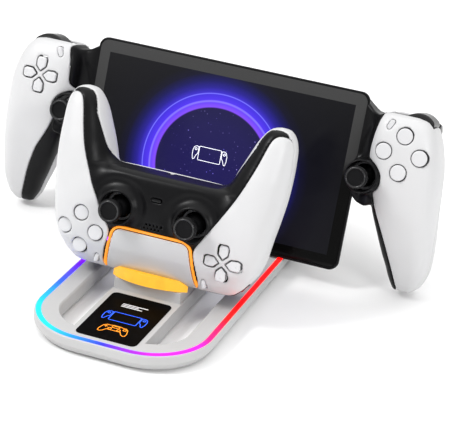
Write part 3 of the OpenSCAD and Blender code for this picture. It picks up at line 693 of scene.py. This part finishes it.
def key_piece(name, node, at, r, z, depth, flange, where):
    prof = [(0, -depth), (r, -depth), (r, -flange - 1), (r + 1, -flange - 1), (r + 1, -flange), (r, -flange),
            (r, -0.75)]
    prof += [(r - 0.55 + 0.55 * math.cos(a), -0.75 + 0.55 * math.sin(a)) for a in np.linspace(0.3, 1.4, 4)]
    prof += [(r * 0.72, -0.11), (r * 0.45, -0.04), (0, 0)]
    v, f = lathe(prof, 56, (at[0], at[1], z))
    ob = tidy_normals(put(name, v, f, KEYW, where, node + "_key", (node,), 40))
    # a dark ring round the key's side just under the shell's surface: painted shade in the gap round the key
    v, f = lathe([(0, -3.4), (r + 0.5, -3.4), (r + 0.5, -1.75), (r - 0.3, -1.6), (r - 0.3, -2.4), (0, -2.4)],
                 48, (at[0], at[1], z))
    tidy_normals(put(name + "_painted_gap_shade", v, f, GAP_SHADE_AND_FELT, where, node + "_key", (), 40))
    return ob


AROUND = ("right", "top", "left", "bottom")
for nm, (x, y) in zip(AROUND, four_round(-KX, KY, PITCH)):
    key_piece("pad_round_key_" + nm, "pad_button_" + nm, (x, y), 5.0, pad_face(x, y) + 1.2, 10.8, 9.0, PAD)


def pill_piece(name, node, body, at, length, width, deg, z0, z1, where, mat):
    pts = []
    for s in (1, -1):
        for a in np.linspace(-90, 90, 13):
            t = math.radians(a)
            pts.append((s * ((length - width) / 2 + width / 2 * math.cos(t)), s * width / 2 * math.sin(t)))
    c, s_ = math.cos(math.radians(deg)), math.sin(math.radians(deg))
    n = len(pts)
    v = []
    for k, (z, w) in enumerate(((z0, 0), (z1 - 0.5, 0), (z1 - 0.15, 0.15), (z1, 0.5))):
        for x, y in pts:
            q = 1 - w / (width / 2)
            px = math.copysign(max(abs(x) - (length - width) / 2, 0) * q + min(abs(x), (length - width) / 2),
                               x)
            v.append((at[0] + px * c - y * q * s_, at[1] + px * s_ + y * q * c, z))
    f = [tuple(range(n))[::-1], tuple(range(3 * n, 4 * n))]
    for k in range(3):
        f += [(k * n + i, k * n + (i + 1) % n, (k + 1) * n + (i + 1) % n, (k + 1) * n + i) for i in range(n)]
    return tidy_normals(put(name, v, f, mat, where, body, (node,), 40))


for s, node in ((1, "pad_create"), (-1, "pad_options")):
    z = pad_face(38.8, 7.6)
    pill_piece(node + "_key_cap", node, node + "_key", (s * 38.8, 7.6), 6.4, 2.8, 90 + s * 12, z - 4, z + 1,
               PAD, KEYW)
z = pad_face(0, 57)
pill_piece("pad_mute_key_cap", "pad_mute", "pad_mute_key", (0, 57), 7, 2.2, 0, z - 3.4, z + 0.6, PAD, GLOSSB)


def petals(name, node, body, cx, cy, top, depth, where):
    """Direction pad: four domed petals on one hidden plate, each with a small plain mark."""
    g = Grid((cx - 14.5, cy - 14.5, top - depth - 1), (cx + 14.5, cy + 14.5, top + 1), 0.4)
    d = arms(g, cx, cy, -0.15)
    rad = np.sqrt((g.x - cx) ** 2 + (g.y - cy) ** 2)
    dome = g.z - (top - 0.05 - 0.55 * (rad / 12.6) ** 2)
    p = smax(smax(d, dome, 0.9), (top - 6.6) - g.z, 0.2)
    for q in range(4):
        a = math.pi / 2 * q
        p = smax(p, -(np.sqrt((g.x - cx - 10 * math.cos(a)) ** 2 + (g.y - cy - 10 * math.sin(a)) ** 2
                              + (g.z - top + 0.2) ** 2) - 0.6), 0.1)
    plate = np.maximum(rad - 7.5, np.abs(g.z - (top - depth + 0.5)) - 0.5)
    neck = np.maximum(rad - 4.5, np.abs(g.z - (top - 7.2)) - 1.2)
    p = np.minimum(p, np.maximum(np.minimum(plate, neck), g.z - (top - 1.2)))
    ob = field(name, g, p, KEYW, where, body, (node,), 0.5)
    # a dark sleeve round the petals' sides just under their tops: painted shade in the gaps round the petals
    c = np.maximum(np.maximum(arms(g, cx, cy, 0.12 + 0.14 * (g.z - top + 1.7)), dome + 1.5),
                   (top - 2.9) - g.z)
    field(name + "_painted_gap_shade", g, c, GAP_SHADE_AND_FELT, where, body, (), 0.5)
    return ob


GRIP_ROWS = [(54, 130.6, -4.2, 13.6, 13.8), (52, 131, -3, 17.2, 16.8), (45.3, 132, -1.1, 21.4, 18.9),
             (35, 133.8, -0.6, 23.8, 20), (20.6, 135.6, -1.5, 25, 20.5), (4.1, 137.4, -3.2, 24.4, 19.8),
             (-12.4, 139.8, -6, 22.7, 18.6), (-28.8, 142.9, -10.6, 20.1, 16.8),
             (-43.3, 145.4, -15, 17.2, 15.2),
             (-54.6, 147, -18, 13.9, 13.4), (-62.8, 147, -19.6, 10.4, 10.8), (-68, 145.8, -20, 6.4, 6.6)]
BY_POD = [(110.4, 21.3), (113.5, 20.4), (118.8, 17.1), (122.5, 12.2), (123.3, 7.1), (121.9, 1.7)]
GRIP_PLATE = {1: [(116.6, 62), (115.6, 53.1), (113.2, 40.1), (110.8, 26.1)] + BY_POD
                 + [(118.8, -2.7), (122.3, -13.6), (128.3, -27.9), (135.4, -45.7), (142.2, -65.1),
                    (143.8, -77), (185, -77), (185, 62)],
              -1: [(118.6, 62), (117.7, 51.3), (115.5, 42.1), (114.6, 33.6), (113.8, 26.1)] + BY_POD
                  + [(122.6, -3.1), (128.1, -14.7), (133.8, -24.5), (137.8, -34.5), (141, -44.5),
                     (143.6, -55.3),
                     (146.5, -67.3), (147, -77), (185, -77), (185, 62)]}
GN = 3.4
CX, CY, CPITCH = 135.0, 28.4, 12.6
TX, TY, TZ, TTOP = 110.0, 8.0, 6.0, 32.0


def grip_face(x, y):
    x0, z0, w, h = [row_at(GRIP_ROWS, y, i) for i in (1, 2, 3, 4)]
    return z0 + h * (1 - abs((x - x0) / w) ** GN) ** (1 / GN)


petals("pad_direction_pad", "pad_dpad", "pad_dpad_cross", KX, KY, pad_face(KX, KY) + 1.4, 7.6, PAD)
petals("console_direction_pad", "console_dpad", "console_dpad_cross", -CX, CY, grip_face(CX, CY) + 1.2, 7.4,
       CON)
for nm, (x, y) in zip(AROUND, four_round(CX, CY, CPITCH)):
    key_piece("console_round_key_" + nm, "console_button_" + nm, (x, y), 5.4, grip_face(x, y) + 1.2, 10.8,
              8.6, CON)
for s, node in ((-1, "console_create"), (1, "console_options")):
    z = grip_face(123.4, 46.8)
    pill_piece(node + "_key_cap", node, node + "_key", (s * 123.4, 46.8), 7, 3.2, 90 - s * 24, z - 4.1,
               z + 0.9, CON, KEYW)


def thumb_stick(name, node, body, at, top, where):
    """Dished cap with a ribbed rim on a stem and dome."""
    T = top
    prof = [(0, -2.6)] + [(7.45 * math.cos(math.radians(a)), 7.45 * math.sin(math.radians(a)))
                          for a in (-20, 0, 15, 30, 45, 60)]
    prof += [(3.5, 7.0), (3.4, T - 6.6), (4.2, T - 6.3), (6.4, T - 5.2), (7.3, T - 4.7), (7.75, T - 4.1),
             (7.9, T - 3.4)]
    rib0 = len(prof)
    prof += [(7.9, T - 3.0), (7.98, T - 2.6), (7.98, T - 1.2), (7.9, T - 0.9)]
    rib1 = len(prof)
    prof += [(7.7, T - 0.45), (7.3, T - 0.1), (6.9, T - 0.02), (6.5, T - 0.12), (6.25, T - 0.4),
             (6.1, T - 0.85), (5.7, T - 1.0)]
    prof += [(5.0, T - 1.05), (3.6, T - 1.25), (1.8, T - 1.38), (0, T - 1.42)]
    n = 96
    v, f = lathe(prof, n, at)
    for k in range(rib0, rib1):
        for i in range(0, n, 2):
            j = 1 + (k - 1) * n + i
            x, y, zz = v[j]
            q = 0.978
            v[j] = (at[0] + (x - at[0]) * q, at[1] + (y - at[1]) * q, zz)
    # a raised ring on the cap's rim, in a lighter colour that is a painted highlight
    ring = [(5.9, T - 1.0), (5.95, T - 0.2), (6.2, T + 0.12), (6.6, T + 0.2), (7.0, T + 0.08), (7.2, T - 0.3),
            (7.1, T - 1.0)]
    m = len(ring)
    rv = [(at[0] + r * math.cos(2 * math.pi * i / 64), at[1] + r * math.sin(2 * math.pi * i / 64), at[2] + z)
          for i in range(64) for r, z in ring]
    rf = [(i * m + k, i * m + (k + 1) % m, (i + 1) % 64 * m + (k + 1) % m, (i + 1) % 64 * m + k)
          for i in range(64) for k in range(m)]
    tidy_normals(put(name + "_ring", rv, rf, RIM_HIGHLIGHT_RING, where, body, (), 50))
    return tidy_normals(put(name, v, f, RUBBER, where, body, (node,), 50))


for s, nm in ((-1, "left"), (1, "right")):
    thumb_stick("pad_thumb_stick_" + nm, "pad_stick_" + nm, "pad_" + nm + "_stick", (s * SX, SY, SZ),
                STOP - SZ, PAD)
    thumb_stick("console_thumb_stick_" + nm, "console_stick_" + nm, "console_" + nm + "_stick",
                (s * TX, TY, TZ), TTOP - TZ, CON)

# ---------------------------------------------------------------- shoulder keys
for s, nm in ((-1, "left"), (1, "right")):
    g = side_grid((36, -2, -13), (70, 11, 0), s, 0.5)
    F = pad_form(g)
    b = g.box(s * 38 if s > 0 else -68, 68 if s > 0 else -38, -4, 9.5, -11.2, -1.5, 1.0)
    p = smax(smax(F - 0.25, b, 0.6), -(F + 3.4), 0.4)
    field("pad_bumper_skin_" + nm, g, p, GLOSSB, PAD, "pad_bumper_" + nm + "_bar", ("pad_bumper_" + nm,),
          0.5)
    g = side_grid((116, 46, -16), (153, 59, 8), s, 0.5)
    u = np.abs(g.x)
    b = g.box(119 if s > 0 else -150, 150 if s > 0 else -119, 48.5, 60, -14, 6, 1.6)
    crown = (np.sqrt(((u - 139) / 16) ** 2 + ((g.y - 38) / 18.9) ** 2) - 1) * 16
    p = smax(smax(crown, b, 1.4), g.z + 0.5 * (g.y - 50) - 5.6, 2.0)
    field("console_bumper_skin_" + nm, g, p, GLOSSB, CON, "console_bumper_" + nm + "_bar",
          ("console_bumper_" + nm,), 0.5)


def trigger_piece(name, node, body, x0, w, pivot, outline, s, where):
    """Trigger with a crowned, rounded pad and its pin."""
    lo = np.array(outline).min(0) - 2.2
    hi = np.array(outline).max(0) + 2.2
    g = side_grid((x0 - 1.5, lo[0], lo[1]), (x0 + w + 1.5, hi[0], hi[1]), s, 0.5)
    u = np.abs(g.x)
    pts = np.array(outline)
    yy, zz = np.broadcast_arrays(g.y[0], g.z[0])
    g2 = g.poly(pts, u=yy, v=zz, smooth=False)[:, :, 0][None]
    d = g2 - 0.9
    mid = np.abs(u - (x0 + w / 2)) - w / 2
    p = smax(d, mid, 2.0)
    pin = np.maximum(np.sqrt((g.y - pivot[0]) ** 2 + (g.z - pivot[1]) ** 2) - 1.2,
                     np.abs(u - (x0 + w / 2)) - w / 2 - 0.6)
    p = np.minimum(p, pin)
    field(name, g, p, GLOSSB, where, body, (node,), 0.5)


for s, nm in ((-1, "left"), (1, "right")):
    trigger_piece("pad_trigger_pad_" + nm, "pad_trigger_" + nm, "pad_" + nm + "_trigger", 38.6, 20,
                  (9, -16.4),
                  [(2, -15.2), (10, -15.2), (10.8, -17.6), (10, -24), (5, -24.6), (1.6, -22), (1, -18)], s,
                  PAD)
    trigger_piece("console_trigger_pad_" + nm, "console_trigger_" + nm, "console_" + nm + "_trigger", 124,
                  25.5, (42.4, -19.6),
                  [(48.6, -18.2), (40.6, -18.2), (39, -21), (40.4, -27.6), (45.6, -28.6), (49, -25.6),
                   (50, -21)], s, CON)


# ---------------------------------------------------------------- console
def grip_split(g):
    """Height of the joint between the front and back of a grip: it drops towards the tip."""
    return -9.0 - 10.0 * ease((-26 - g.y) / 38)


def shoulder_rooms(g, u, f):
    g2 = g.with_x(u)
    a = g2.box(118.6, 150.4, 47.1, 75, -14.4, 6.4, 0.8)
    b = g2.box(122.6, 154.4, 34.2, 75, -44.4, -16, 0.8)
    return smax(f, -np.minimum(a, b), 0.4)


HC = 0.8
for s, nm in ((-1, "left"), (1, "right")):
    g = side_grid((106, -71, -22), (166, 57, 22), s, HC)
    u = np.abs(g.x)
    F = g.loft(u, GRIP_ROWS, GN, 1.6)
    skin = walled(F)
    p = smax(skin, g.poly(GRIP_PLATE[s], u=u[:, :, 0], cuts=4) + 0.05, 0.5)
    p = smax(p, grip_split(g) + 0.1 - g.z, 0.4)
    if s > 0:
        for x, y in four_round(CX, CY, CPITCH):
            p = smax(p, -g.disc(x, y, 6.0), 0.4)
    else:
        p = smax(p, -arms(g, -CX, CY, 0.8), 0.4)
    p = smax(p, -g.pill(s * 123.4, 46.8, 7.6, 3.8, 90 - s * 24), 0.4)
    p = shoulder_rooms(g, u, p)
    field("console_grip_front_skin_" + nm, g, p, WHITE, CON, "handheld", ("console_grip_front_" + nm,),
          0.5)
    g = side_grid((106, -71, -35), (166, 57, -7), s, HC)
    u = np.abs(g.x)
    F = g.loft(u, GRIP_ROWS, GN, 1.6)
    p = smax(walled(F), g.z - grip_split(g) + 0.15, 0.5)
    p = smax(p, -(np.sqrt((u - TX) ** 2 + (g.y - TY) ** 2) - 12.6), 0.3)
    p = shoulder_rooms(g, u, p)
    field("console_grip_back_skin_" + nm, g, p, WHITE, CON, "handheld", ("console_grip_back_" + nm,),
          0.45)
    # black yoke, stick pod and inner band
    g = side_grid((92, -71, -23), (158, 62, 23), s, HC)
    u = np.abs(g.x)
    F = g.loft(u, GRIP_ROWS, GN, 1.6)
    plate = g.poly(GRIP_PLATE[s], u=u[:, :, 0], cuts=4)
    dist = np.sqrt((u - TX) ** 2 + (g.y - TY) ** 2)
    edge = pchip(u.ravel(), [92, 98, 103, 108, 112, 116, 124],
                 [60.0, 58.5, 54.8, 51.6, 51.0, 52.2, 53])[:, None, None]
    top = pchip(u.ravel(), [92, 98, 102, 107, 112, 116, 120],
                [-0.8, -0.6, 0.6, 3.6, 9.0, 12.6, 14.4])[:, None, None]
    arch = np.sqrt(((u - 112.5) / 11.5) ** 2 + ((g.y - 16) / 31.5) ** 2)
    scoop = 1.2 * np.clip((1.0 - arch) / 0.16, 0, 1)
    low = pchip(u.ravel(), [92, 100, 107, 112, 118, 126], [-3, -8.5, -12.5, -13, -11, -8])[:, None, None]
    yoke = smax(smax(g.z - (top - scoop), g.y - edge, 2.5), low - g.y, 4.0)
    yoke = smax(yoke, -13.5 - 0.16 * (u - 98) - g.z, 3.0)
    yoke = smax(yoke, np.maximum(u - 121, 95 - u), 1.0)
    pod = smax(smax(dist - 11.7, g.z - 19.8, 2.6), -14 - g.z, 2.0)
    body = smin(yoke, pod, 4.5)
    body = np.where(plate < 0.2, np.maximum(body, F + 0.6), body)
    inner = F + WALL + 0.2
    white_front = np.maximum(F - 0.25, plate - 0.2)
    white_back = np.maximum(F - 0.25, g.z - grip_split(g) - 0.2)
    body = smax(body, -np.minimum(np.minimum(white_front, white_back), inner), 0.4)
    band = np.maximum(walled(F), grip_split(g) + 0.1 - g.z)
    band = smax(band, -(plate - 0.2), 0.5)
    p = smin(body, band, 1.5)
    well = np.where(g.z > 14.5, 10.2, 10.6)
    p = smax(p, -np.maximum(dist - well, -12 - g.z), 0.8)
    p = shoulder_rooms(g, u, p)
    nodes = ("console_body",) if s > 0 else ()
    field("console_yoke_skin_" + nm, g, p, BLACK, CON, "handheld", nodes, 0.6)

# the tablet's black case, by how much each level is smaller than the widest: (less, corner radius, z)
GW, GH = 203.6, 125.8
CASE_LEVELS = [(15.5, 6, -15.0), (14.6, 6.2, -14.65), (7.4, 7, -11.6), (5.5, 7, -10.0), (3.4, 7, -7.6),
               (0.6, 7, -2.9), (0, 7, -2.3), (0, 7, -0.55), (0.3, 7, -0.2), (0.9, 7, -0.05),
               (2.7, 6.1, -0.05), (2.8, 6.1, -1.3)]
v, f = slab([(GW - q, GH - q, r, z) for q, r, z in CASE_LEVELS], 14)
ob = put("console_tablet_case", v, f, BLACK, CON, "handheld", (), 28)
tidy_normals(ob)


# the screen: cover glass with a display behind it
def screen_material():
    m, nt, ln, b = material("screen_glass")
    tc = nt.new("ShaderNodeTexCoord")
    sep = nt.new("ShaderNodeSeparateXYZ")
    ln.new(tc.outputs["Object"], sep.inputs[0])

    def math_node(op, a, c=None, clamp=False):
        n = nt.new("ShaderNodeMath")
        n.operation = op
        n.use_clamp = clamp
        for k, q in enumerate((a, c)):
            if q is None:
                continue
            if isinstance(q, (int, float)):
                n.inputs[k].default_value = q
            else:
                ln.new(q, n.inputs[k])
        return n.outputs[0]

    x = math_node("ADD", sep.outputs["X"], 0.0026)
    y = math_node("ADD", sep.outputs["Y"], 0.0114)
    r = math_node("SQRT", math_node("ADD", math_node("MULTIPLY", x, x), math_node("MULTIPLY", y, y)))
    rr = math_node("DIVIDE", r, 0.1)

    def mm(v):
        return v / 100.0
    halo = ramp(nt, ln, rr, [
        (0.0, (0.012, 0.009, 0.085)), (mm(30), (0.011, 0.008, 0.075)), (mm(41.5), (0.009, 0.007, 0.06)),
        (mm(42.3), (0.22, 0.07, 0.92)), (mm(45.4), (0.13, 0.05, 0.90)), (mm(45.9), (0.22, 0.16, 1.0)),
        (mm(46.7), (0.22, 0.16, 1.0)), (mm(47.2), (0.075, 0.03, 0.80)), (mm(51.2), (0.05, 0.025, 0.66)),
        (mm(51.5), (0.17, 0.15, 0.95)), (mm(51.9), (0.17, 0.15, 0.95)), (mm(52.2), (0.04, 0.022, 0.55)),
        (mm(56), (0.016, 0.010, 0.26)), (mm(61), (0.004, 0.0035, 0.09)), (mm(66), (0.0012, 0.001, 0.016)),
        (mm(72), (0.0006, 0.0006, 0.003)), (1.0, (0.0004, 0.0004, 0.0012))])
    # stars inside the disc
    v = nt.new("ShaderNodeTexVoronoi")
    dial(v, {"Scale": 420.0, "Randomness": 1.0})
    ln.new(tc.outputs["Object"], v.inputs["Vector"])
    star = ramp(nt, ln, v.outputs["Distance"], [(0.0, (1, 1, 1)), (0.12, (0.5, 0.5, 0.5)), (0.2, (0, 0, 0))])
    sp = nt.new("ShaderNodeSeparateColor")
    ln.new(v.outputs["Color"], sp.inputs[0])
    pick = ramp(nt, ln, sp.outputs["Red"],
                [(0.0, (0, 0, 0)), (0.5, (0, 0, 0)), (0.85, (0.45, 0.45, 0.45)), (1.0, (1, 1, 1))])
    inside = ramp(nt, ln, rr, [(0.0, (1, 1, 1)), (mm(39), (1, 1, 1)), (mm(41.5), (0, 0, 0)),
                               (1.0, (0, 0, 0))])
    s1 = math_node("MULTIPLY", math_node("MULTIPLY", star.outputs["Color"], pick.outputs["Color"]),
                   inside.outputs["Color"])
    tint = nt.new("ShaderNodeMix")
    tint.data_type = "RGBA"
    tint.blend_type = "ADD"
    ln.new(s1, tint.inputs["Factor"])
    ln.new(halo.outputs["Color"], tint.inputs["A"])
    dust = grain(nt, ln, 90.0, 3.0)
    dr = ramp(nt, ln, dust.outputs["Fac"], [(0.35, (0.18, 0.14, 0.95)), (0.65, (0.5, 0.42, 1.0))])
    ln.new(dr.outputs["Color"], tint.inputs["B"])
    # the display's edge
    ax = math_node("ABSOLUTE", sep.outputs["X"])
    ay = math_node("ABSOLUTE", sep.outputs["Y"])
    inx = math_node("LESS_THAN", ax, 0.0925)
    iny = math_node("LESS_THAN", ay, 0.053)
    mask = math_node("MULTIPLY", inx, iny)
    up = math_node("GREATER_THAN", sep.outputs["Z"], -0.0008)
    mask = math_node("MULTIPLY", mask, up)
    em = nt.new("ShaderNodeMix")
    em.data_type = "RGBA"
    ln.new(mask, em.inputs["Factor"])
    em.inputs["A"].default_value = (0, 0, 0, 1)
    ln.new(tint.outputs["Result"], em.inputs["B"])
    ln.new(em.outputs["Result"], b.inputs["Emission Color"])
    b.inputs["Emission Strength"].default_value = 1.15
    # painted reflection on the cover glass: the frame round the display is a lighter grey than the display
    # itself in the upper left, cut off along a diagonal and darker to the lower right, and the display's
    # black carries a faint painted sheen along the same diagonal
    reflection_sweep = math_node("SUBTRACT", math_node("MULTIPLY", sep.outputs["Y"], 4.0),
                    math_node("MULTIPLY", sep.outputs["X"], 1.0))
    # painted reflection on the frame: light grey above the diagonal, near black below it
    edge = ramp(nt, ln, math_node("ADD", reflection_sweep, 0.5, True),
                [(0.0, (0.0018, 0.0018, 0.0018)), (0.42, (0.002, 0.002, 0.002)),
                 (0.46, (0.045, 0.045, 0.045)), (1.0, (0.052, 0.052, 0.052))])
    # painted sheen on the display's black, lighter at both ends of the diagonal
    shade = ramp(nt, ln, math_node("ADD", reflection_sweep, 0.5, True),
                 [(0.0, (0.008, 0.008, 0.010)), (0.5, (0.005, 0.005, 0.006)), (1.0, (0.016, 0.016, 0.016))])
    base = nt.new("ShaderNodeMix")
    base.data_type = "RGBA"
    ln.new(mask, base.inputs["Factor"])
    ln.new(edge.outputs["Color"], base.inputs["A"])
    ln.new(shade.outputs["Color"], base.inputs["B"])
    ln.new(base.outputs["Result"], b.inputs["Base Color"])
    dial(b, {"Roughness": 0.12, "Specular IOR Level": 0.1, "Coat Weight": 0.0})
    return m


SCREEN = screen_material()
v, f = slab([(200.6, 122.8, 6, -1.2), (200.6, 122.8, 6, -0.3), (200.3, 122.5, 6, -0.08),
             (199.7, 121.9, 5.8, 0.0)], 14)
ob = put("console_screen_glass", v, f, SCREEN, CON, "handheld", ("console_screen",), 28)
tidy_normals(ob)
v, f = slab([(185, 106, 1, -3.4), (185, 106, 1, -1.25)], 4)
tidy_normals(put("console_display_module", v, f, BATT, CON, "handheld", (), 28))


def line_material(name, col, power):
    m, nt, ln, b = material(name)
    n = grain(nt, ln, 300.0, 2.0)
    r = ramp(nt, ln, n.outputs["Fac"], [(0.3, tuple(c * 0.9 for c in col)), (0.7, col)])
    ln.new(r.outputs["Color"], b.inputs["Emission Color"])
    ln.new(r.outputs["Color"], b.inputs["Base Color"])
    b.inputs["Emission Strength"].default_value = power
    return m


WHITE_LINE = line_material("white_mark", (0.9, 0.92, 1.0), 0.9)
BLUE_LINE = line_material("blue_mark", (0.01, 0.10, 0.9), 0.9)
ORANGE_LINE = line_material("orange_mark", (0.95, 0.30, 0.01), 0.8)


def ribbons(name, paths, width, z, mat, where, body, depth=0.12, at=(0, 0), scale=1.0):
    """Thin raised lines along closed or open paths: (points, closed)."""
    v, f = [], []
    for pts, closed in paths:
        p = np.array(pts, float) * scale + np.array(at)
        n = len(p)
        nx = np.roll(p, -1, 0) - p
        pv = p - np.roll(p, 1, 0)
        if not closed:
            nx[-1], pv[0] = pv[-1], nx[0]
        nx /= np.linalg.norm(nx, axis=1)[:, None] + 1e-9
        pv /= np.linalg.norm(pv, axis=1)[:, None] + 1e-9
        t = nx + pv
        t /= np.linalg.norm(t, axis=1)[:, None] + 1e-9
        k = 1 / np.maximum((t * nx).sum(1), 0.5)
        nrm = np.stack([-t[:, 1], t[:, 0]], 1) * k[:, None] * width / 2
        base = len(v)
        for q, d in zip(p, nrm):
            v += [(q[0] + d[0], q[1] + d[1], z), (q[0] - d[0], q[1] - d[1], z),
                  (q[0] - d[0], q[1] - d[1], z - depth), (q[0] + d[0], q[1] + d[1], z - depth)]
        last = n if closed else n - 1
        for i in range(last):
            a, c = base + 4 * i, base + 4 * ((i + 1) % n)
            for j in range(4):
                f.append((a + j, a + (j + 1) % 4, c + (j + 1) % 4, c + j))
        if not closed:
            f.append((base, base + 1, base + 2, base + 3))
            e = base + 4 * (n - 1)
            f.append((e + 3, e + 2, e + 1, e))
    return tidy_normals(put(name, v, f, mat, where, body, (), 30))


def rr(w, l, r, cx=0.0, cy=0.0):
    return [(cx + x, cy + y) for x, y in round_rect(w, l, r, 5)]


def ring_path(cx, cy, r, n=16):
    return [(cx + r * math.cos(2 * math.pi * i / n), cy + r * math.sin(2 * math.pi * i / n))
            for i in range(n)]


# a small outline of a handheld, 28 mm wide
def grip_outline(s):
    pts = ((9.2, 4.6), (11.0, 4.9), (12.6, 4.0), (13.4, 1.5), (13.4, -2.0), (12.9, -4.6),
           (12.4, -5.2), (11.6, -4.8), (10.6, -2.0), (9.4, -0.6), (9.2, 1.0))
    return [(s * x, y) for x, y in pts]


HANDHELD = [(rr(17.4, 10.2, 0.8), True), (grip_outline(1), True), (grip_outline(-1), True),
            (ring_path(11.2, 2.6, 0.8, 10), True), (ring_path(-11.2, 2.6, 0.8, 10), True)]
ribbons("console_screen_mark", HANDHELD, 0.34, 0.1, WHITE_LINE, CON, "handheld", 0.12,
        (-4.9, -3.6), 0.96)
GAMEPAD = [([(-4.4, 4.4), (-2.2, 5.0), (2.2, 5.0), (4.4, 4.4), (6.8, 4.4), (8.6, 2.6), (9.8, -2.2),
             (9.6, -5.0), (8.2, -5.6), (6.6, -4.4), (4.9, -1.4), (-4.9, -1.4), (-6.6, -4.4), (-8.2, -5.6),
             (-9.6, -5.0), (-9.8, -2.2), (-8.6, 2.6), (-6.8, 4.4)], True),
           (ring_path(-3.2, 0.1, 1.2, 12), True), (ring_path(3.2, 0.1, 1.2, 12), True),
           (rr(5.0, 2.2, 0.5, 0, 3.2), True),
           (ring_path(6.6, 2.2, 1.1, 12), True), ([(-7.8, 2.2), (-5.4, 2.2)], False),
           ([(-6.6, 3.4), (-6.6, 1.0)], False)]
PZ = 13.5 + 0.08
ribbons("dock_panel_mark_handheld", HANDHELD, 0.55, PZ, BLUE_LINE, DOCK, "dock", 0.12,
        (0.5, -80.6), 1.12)
ribbons("dock_panel_mark_gamepad", GAMEPAD, 0.5, PZ, ORANGE_LINE, DOCK, "dock", 0.12,
        (0.2, -97.4), 1.0)
GREY_LINE = line_material("grey_mark", (0.75, 0.75, 0.78), 0.25)
ribbons("dock_panel_mark_bars",
        [([(-9, 1.8), (9, 1.8)], False), ([(-9, 0), (3, 0)], False), ([(-9, -1.8), (6, -1.8)], False)],
        0.8, PZ, GREY_LINE, DOCK, "dock", 0.12, (0, -64), 1.0)

# ---------------------------------------------------------------- floor and light
floor_mat, nt, ln, b = material("pale_floor")
n = grain(nt, ln, 3.0, 3.0)
feed(nt, ln, b, "Base Color", n.outputs["Fac"], [(0.3, 0.93), (0.7, 0.95)])
dial(b, {"Roughness": 0.7, "Specular IOR Level": 0.2})
me = bpy.data.meshes.new("floor")
me.from_pydata([(-4, -4, 0), (4, -4, 0), (4, 6, 0), (-4, 6, 0)], [], [(0, 1, 2, 3)])
floor = bpy.data.objects.new("floor", me)
bpy.context.scene.collection.objects.link(floor)
me.materials.append(floor_mat)

world = bpy.data.worlds.new("studio")
bpy.context.scene.world = world
world.use_nodes = True
dial(world.node_tree.nodes["Background"], {"Color": (1, 1, 1, 1), "Strength": 0.62})


def area(name, loc, aim, size, power):
    li = bpy.data.lights.new(name, "AREA")
    li.shape = "RECTANGLE"
    li.size = li.size_y = size
    li.energy = power
    ob = bpy.data.objects.new(name, li)
    bpy.context.scene.collection.objects.link(ob)
    ob.location = loc
    d = Vector(aim) - Vector(loc)
    ob.rotation_euler = d.to_track_quat("-Z", "Y").to_euler()


area("key_light", (-1.2, -0.9, 1.6), (0, 0, 0.06), 0.6, 26)
area("fill_light", (1.5, -1.0, 1.0), (0, 0, 0.06), 0.6, 12)
area("top_light", (0.1, 0.9, 2.6), (0, 0.6, 0), 4.5, 63)

bpy.context.scene.view_settings.view_transform = "Standard"
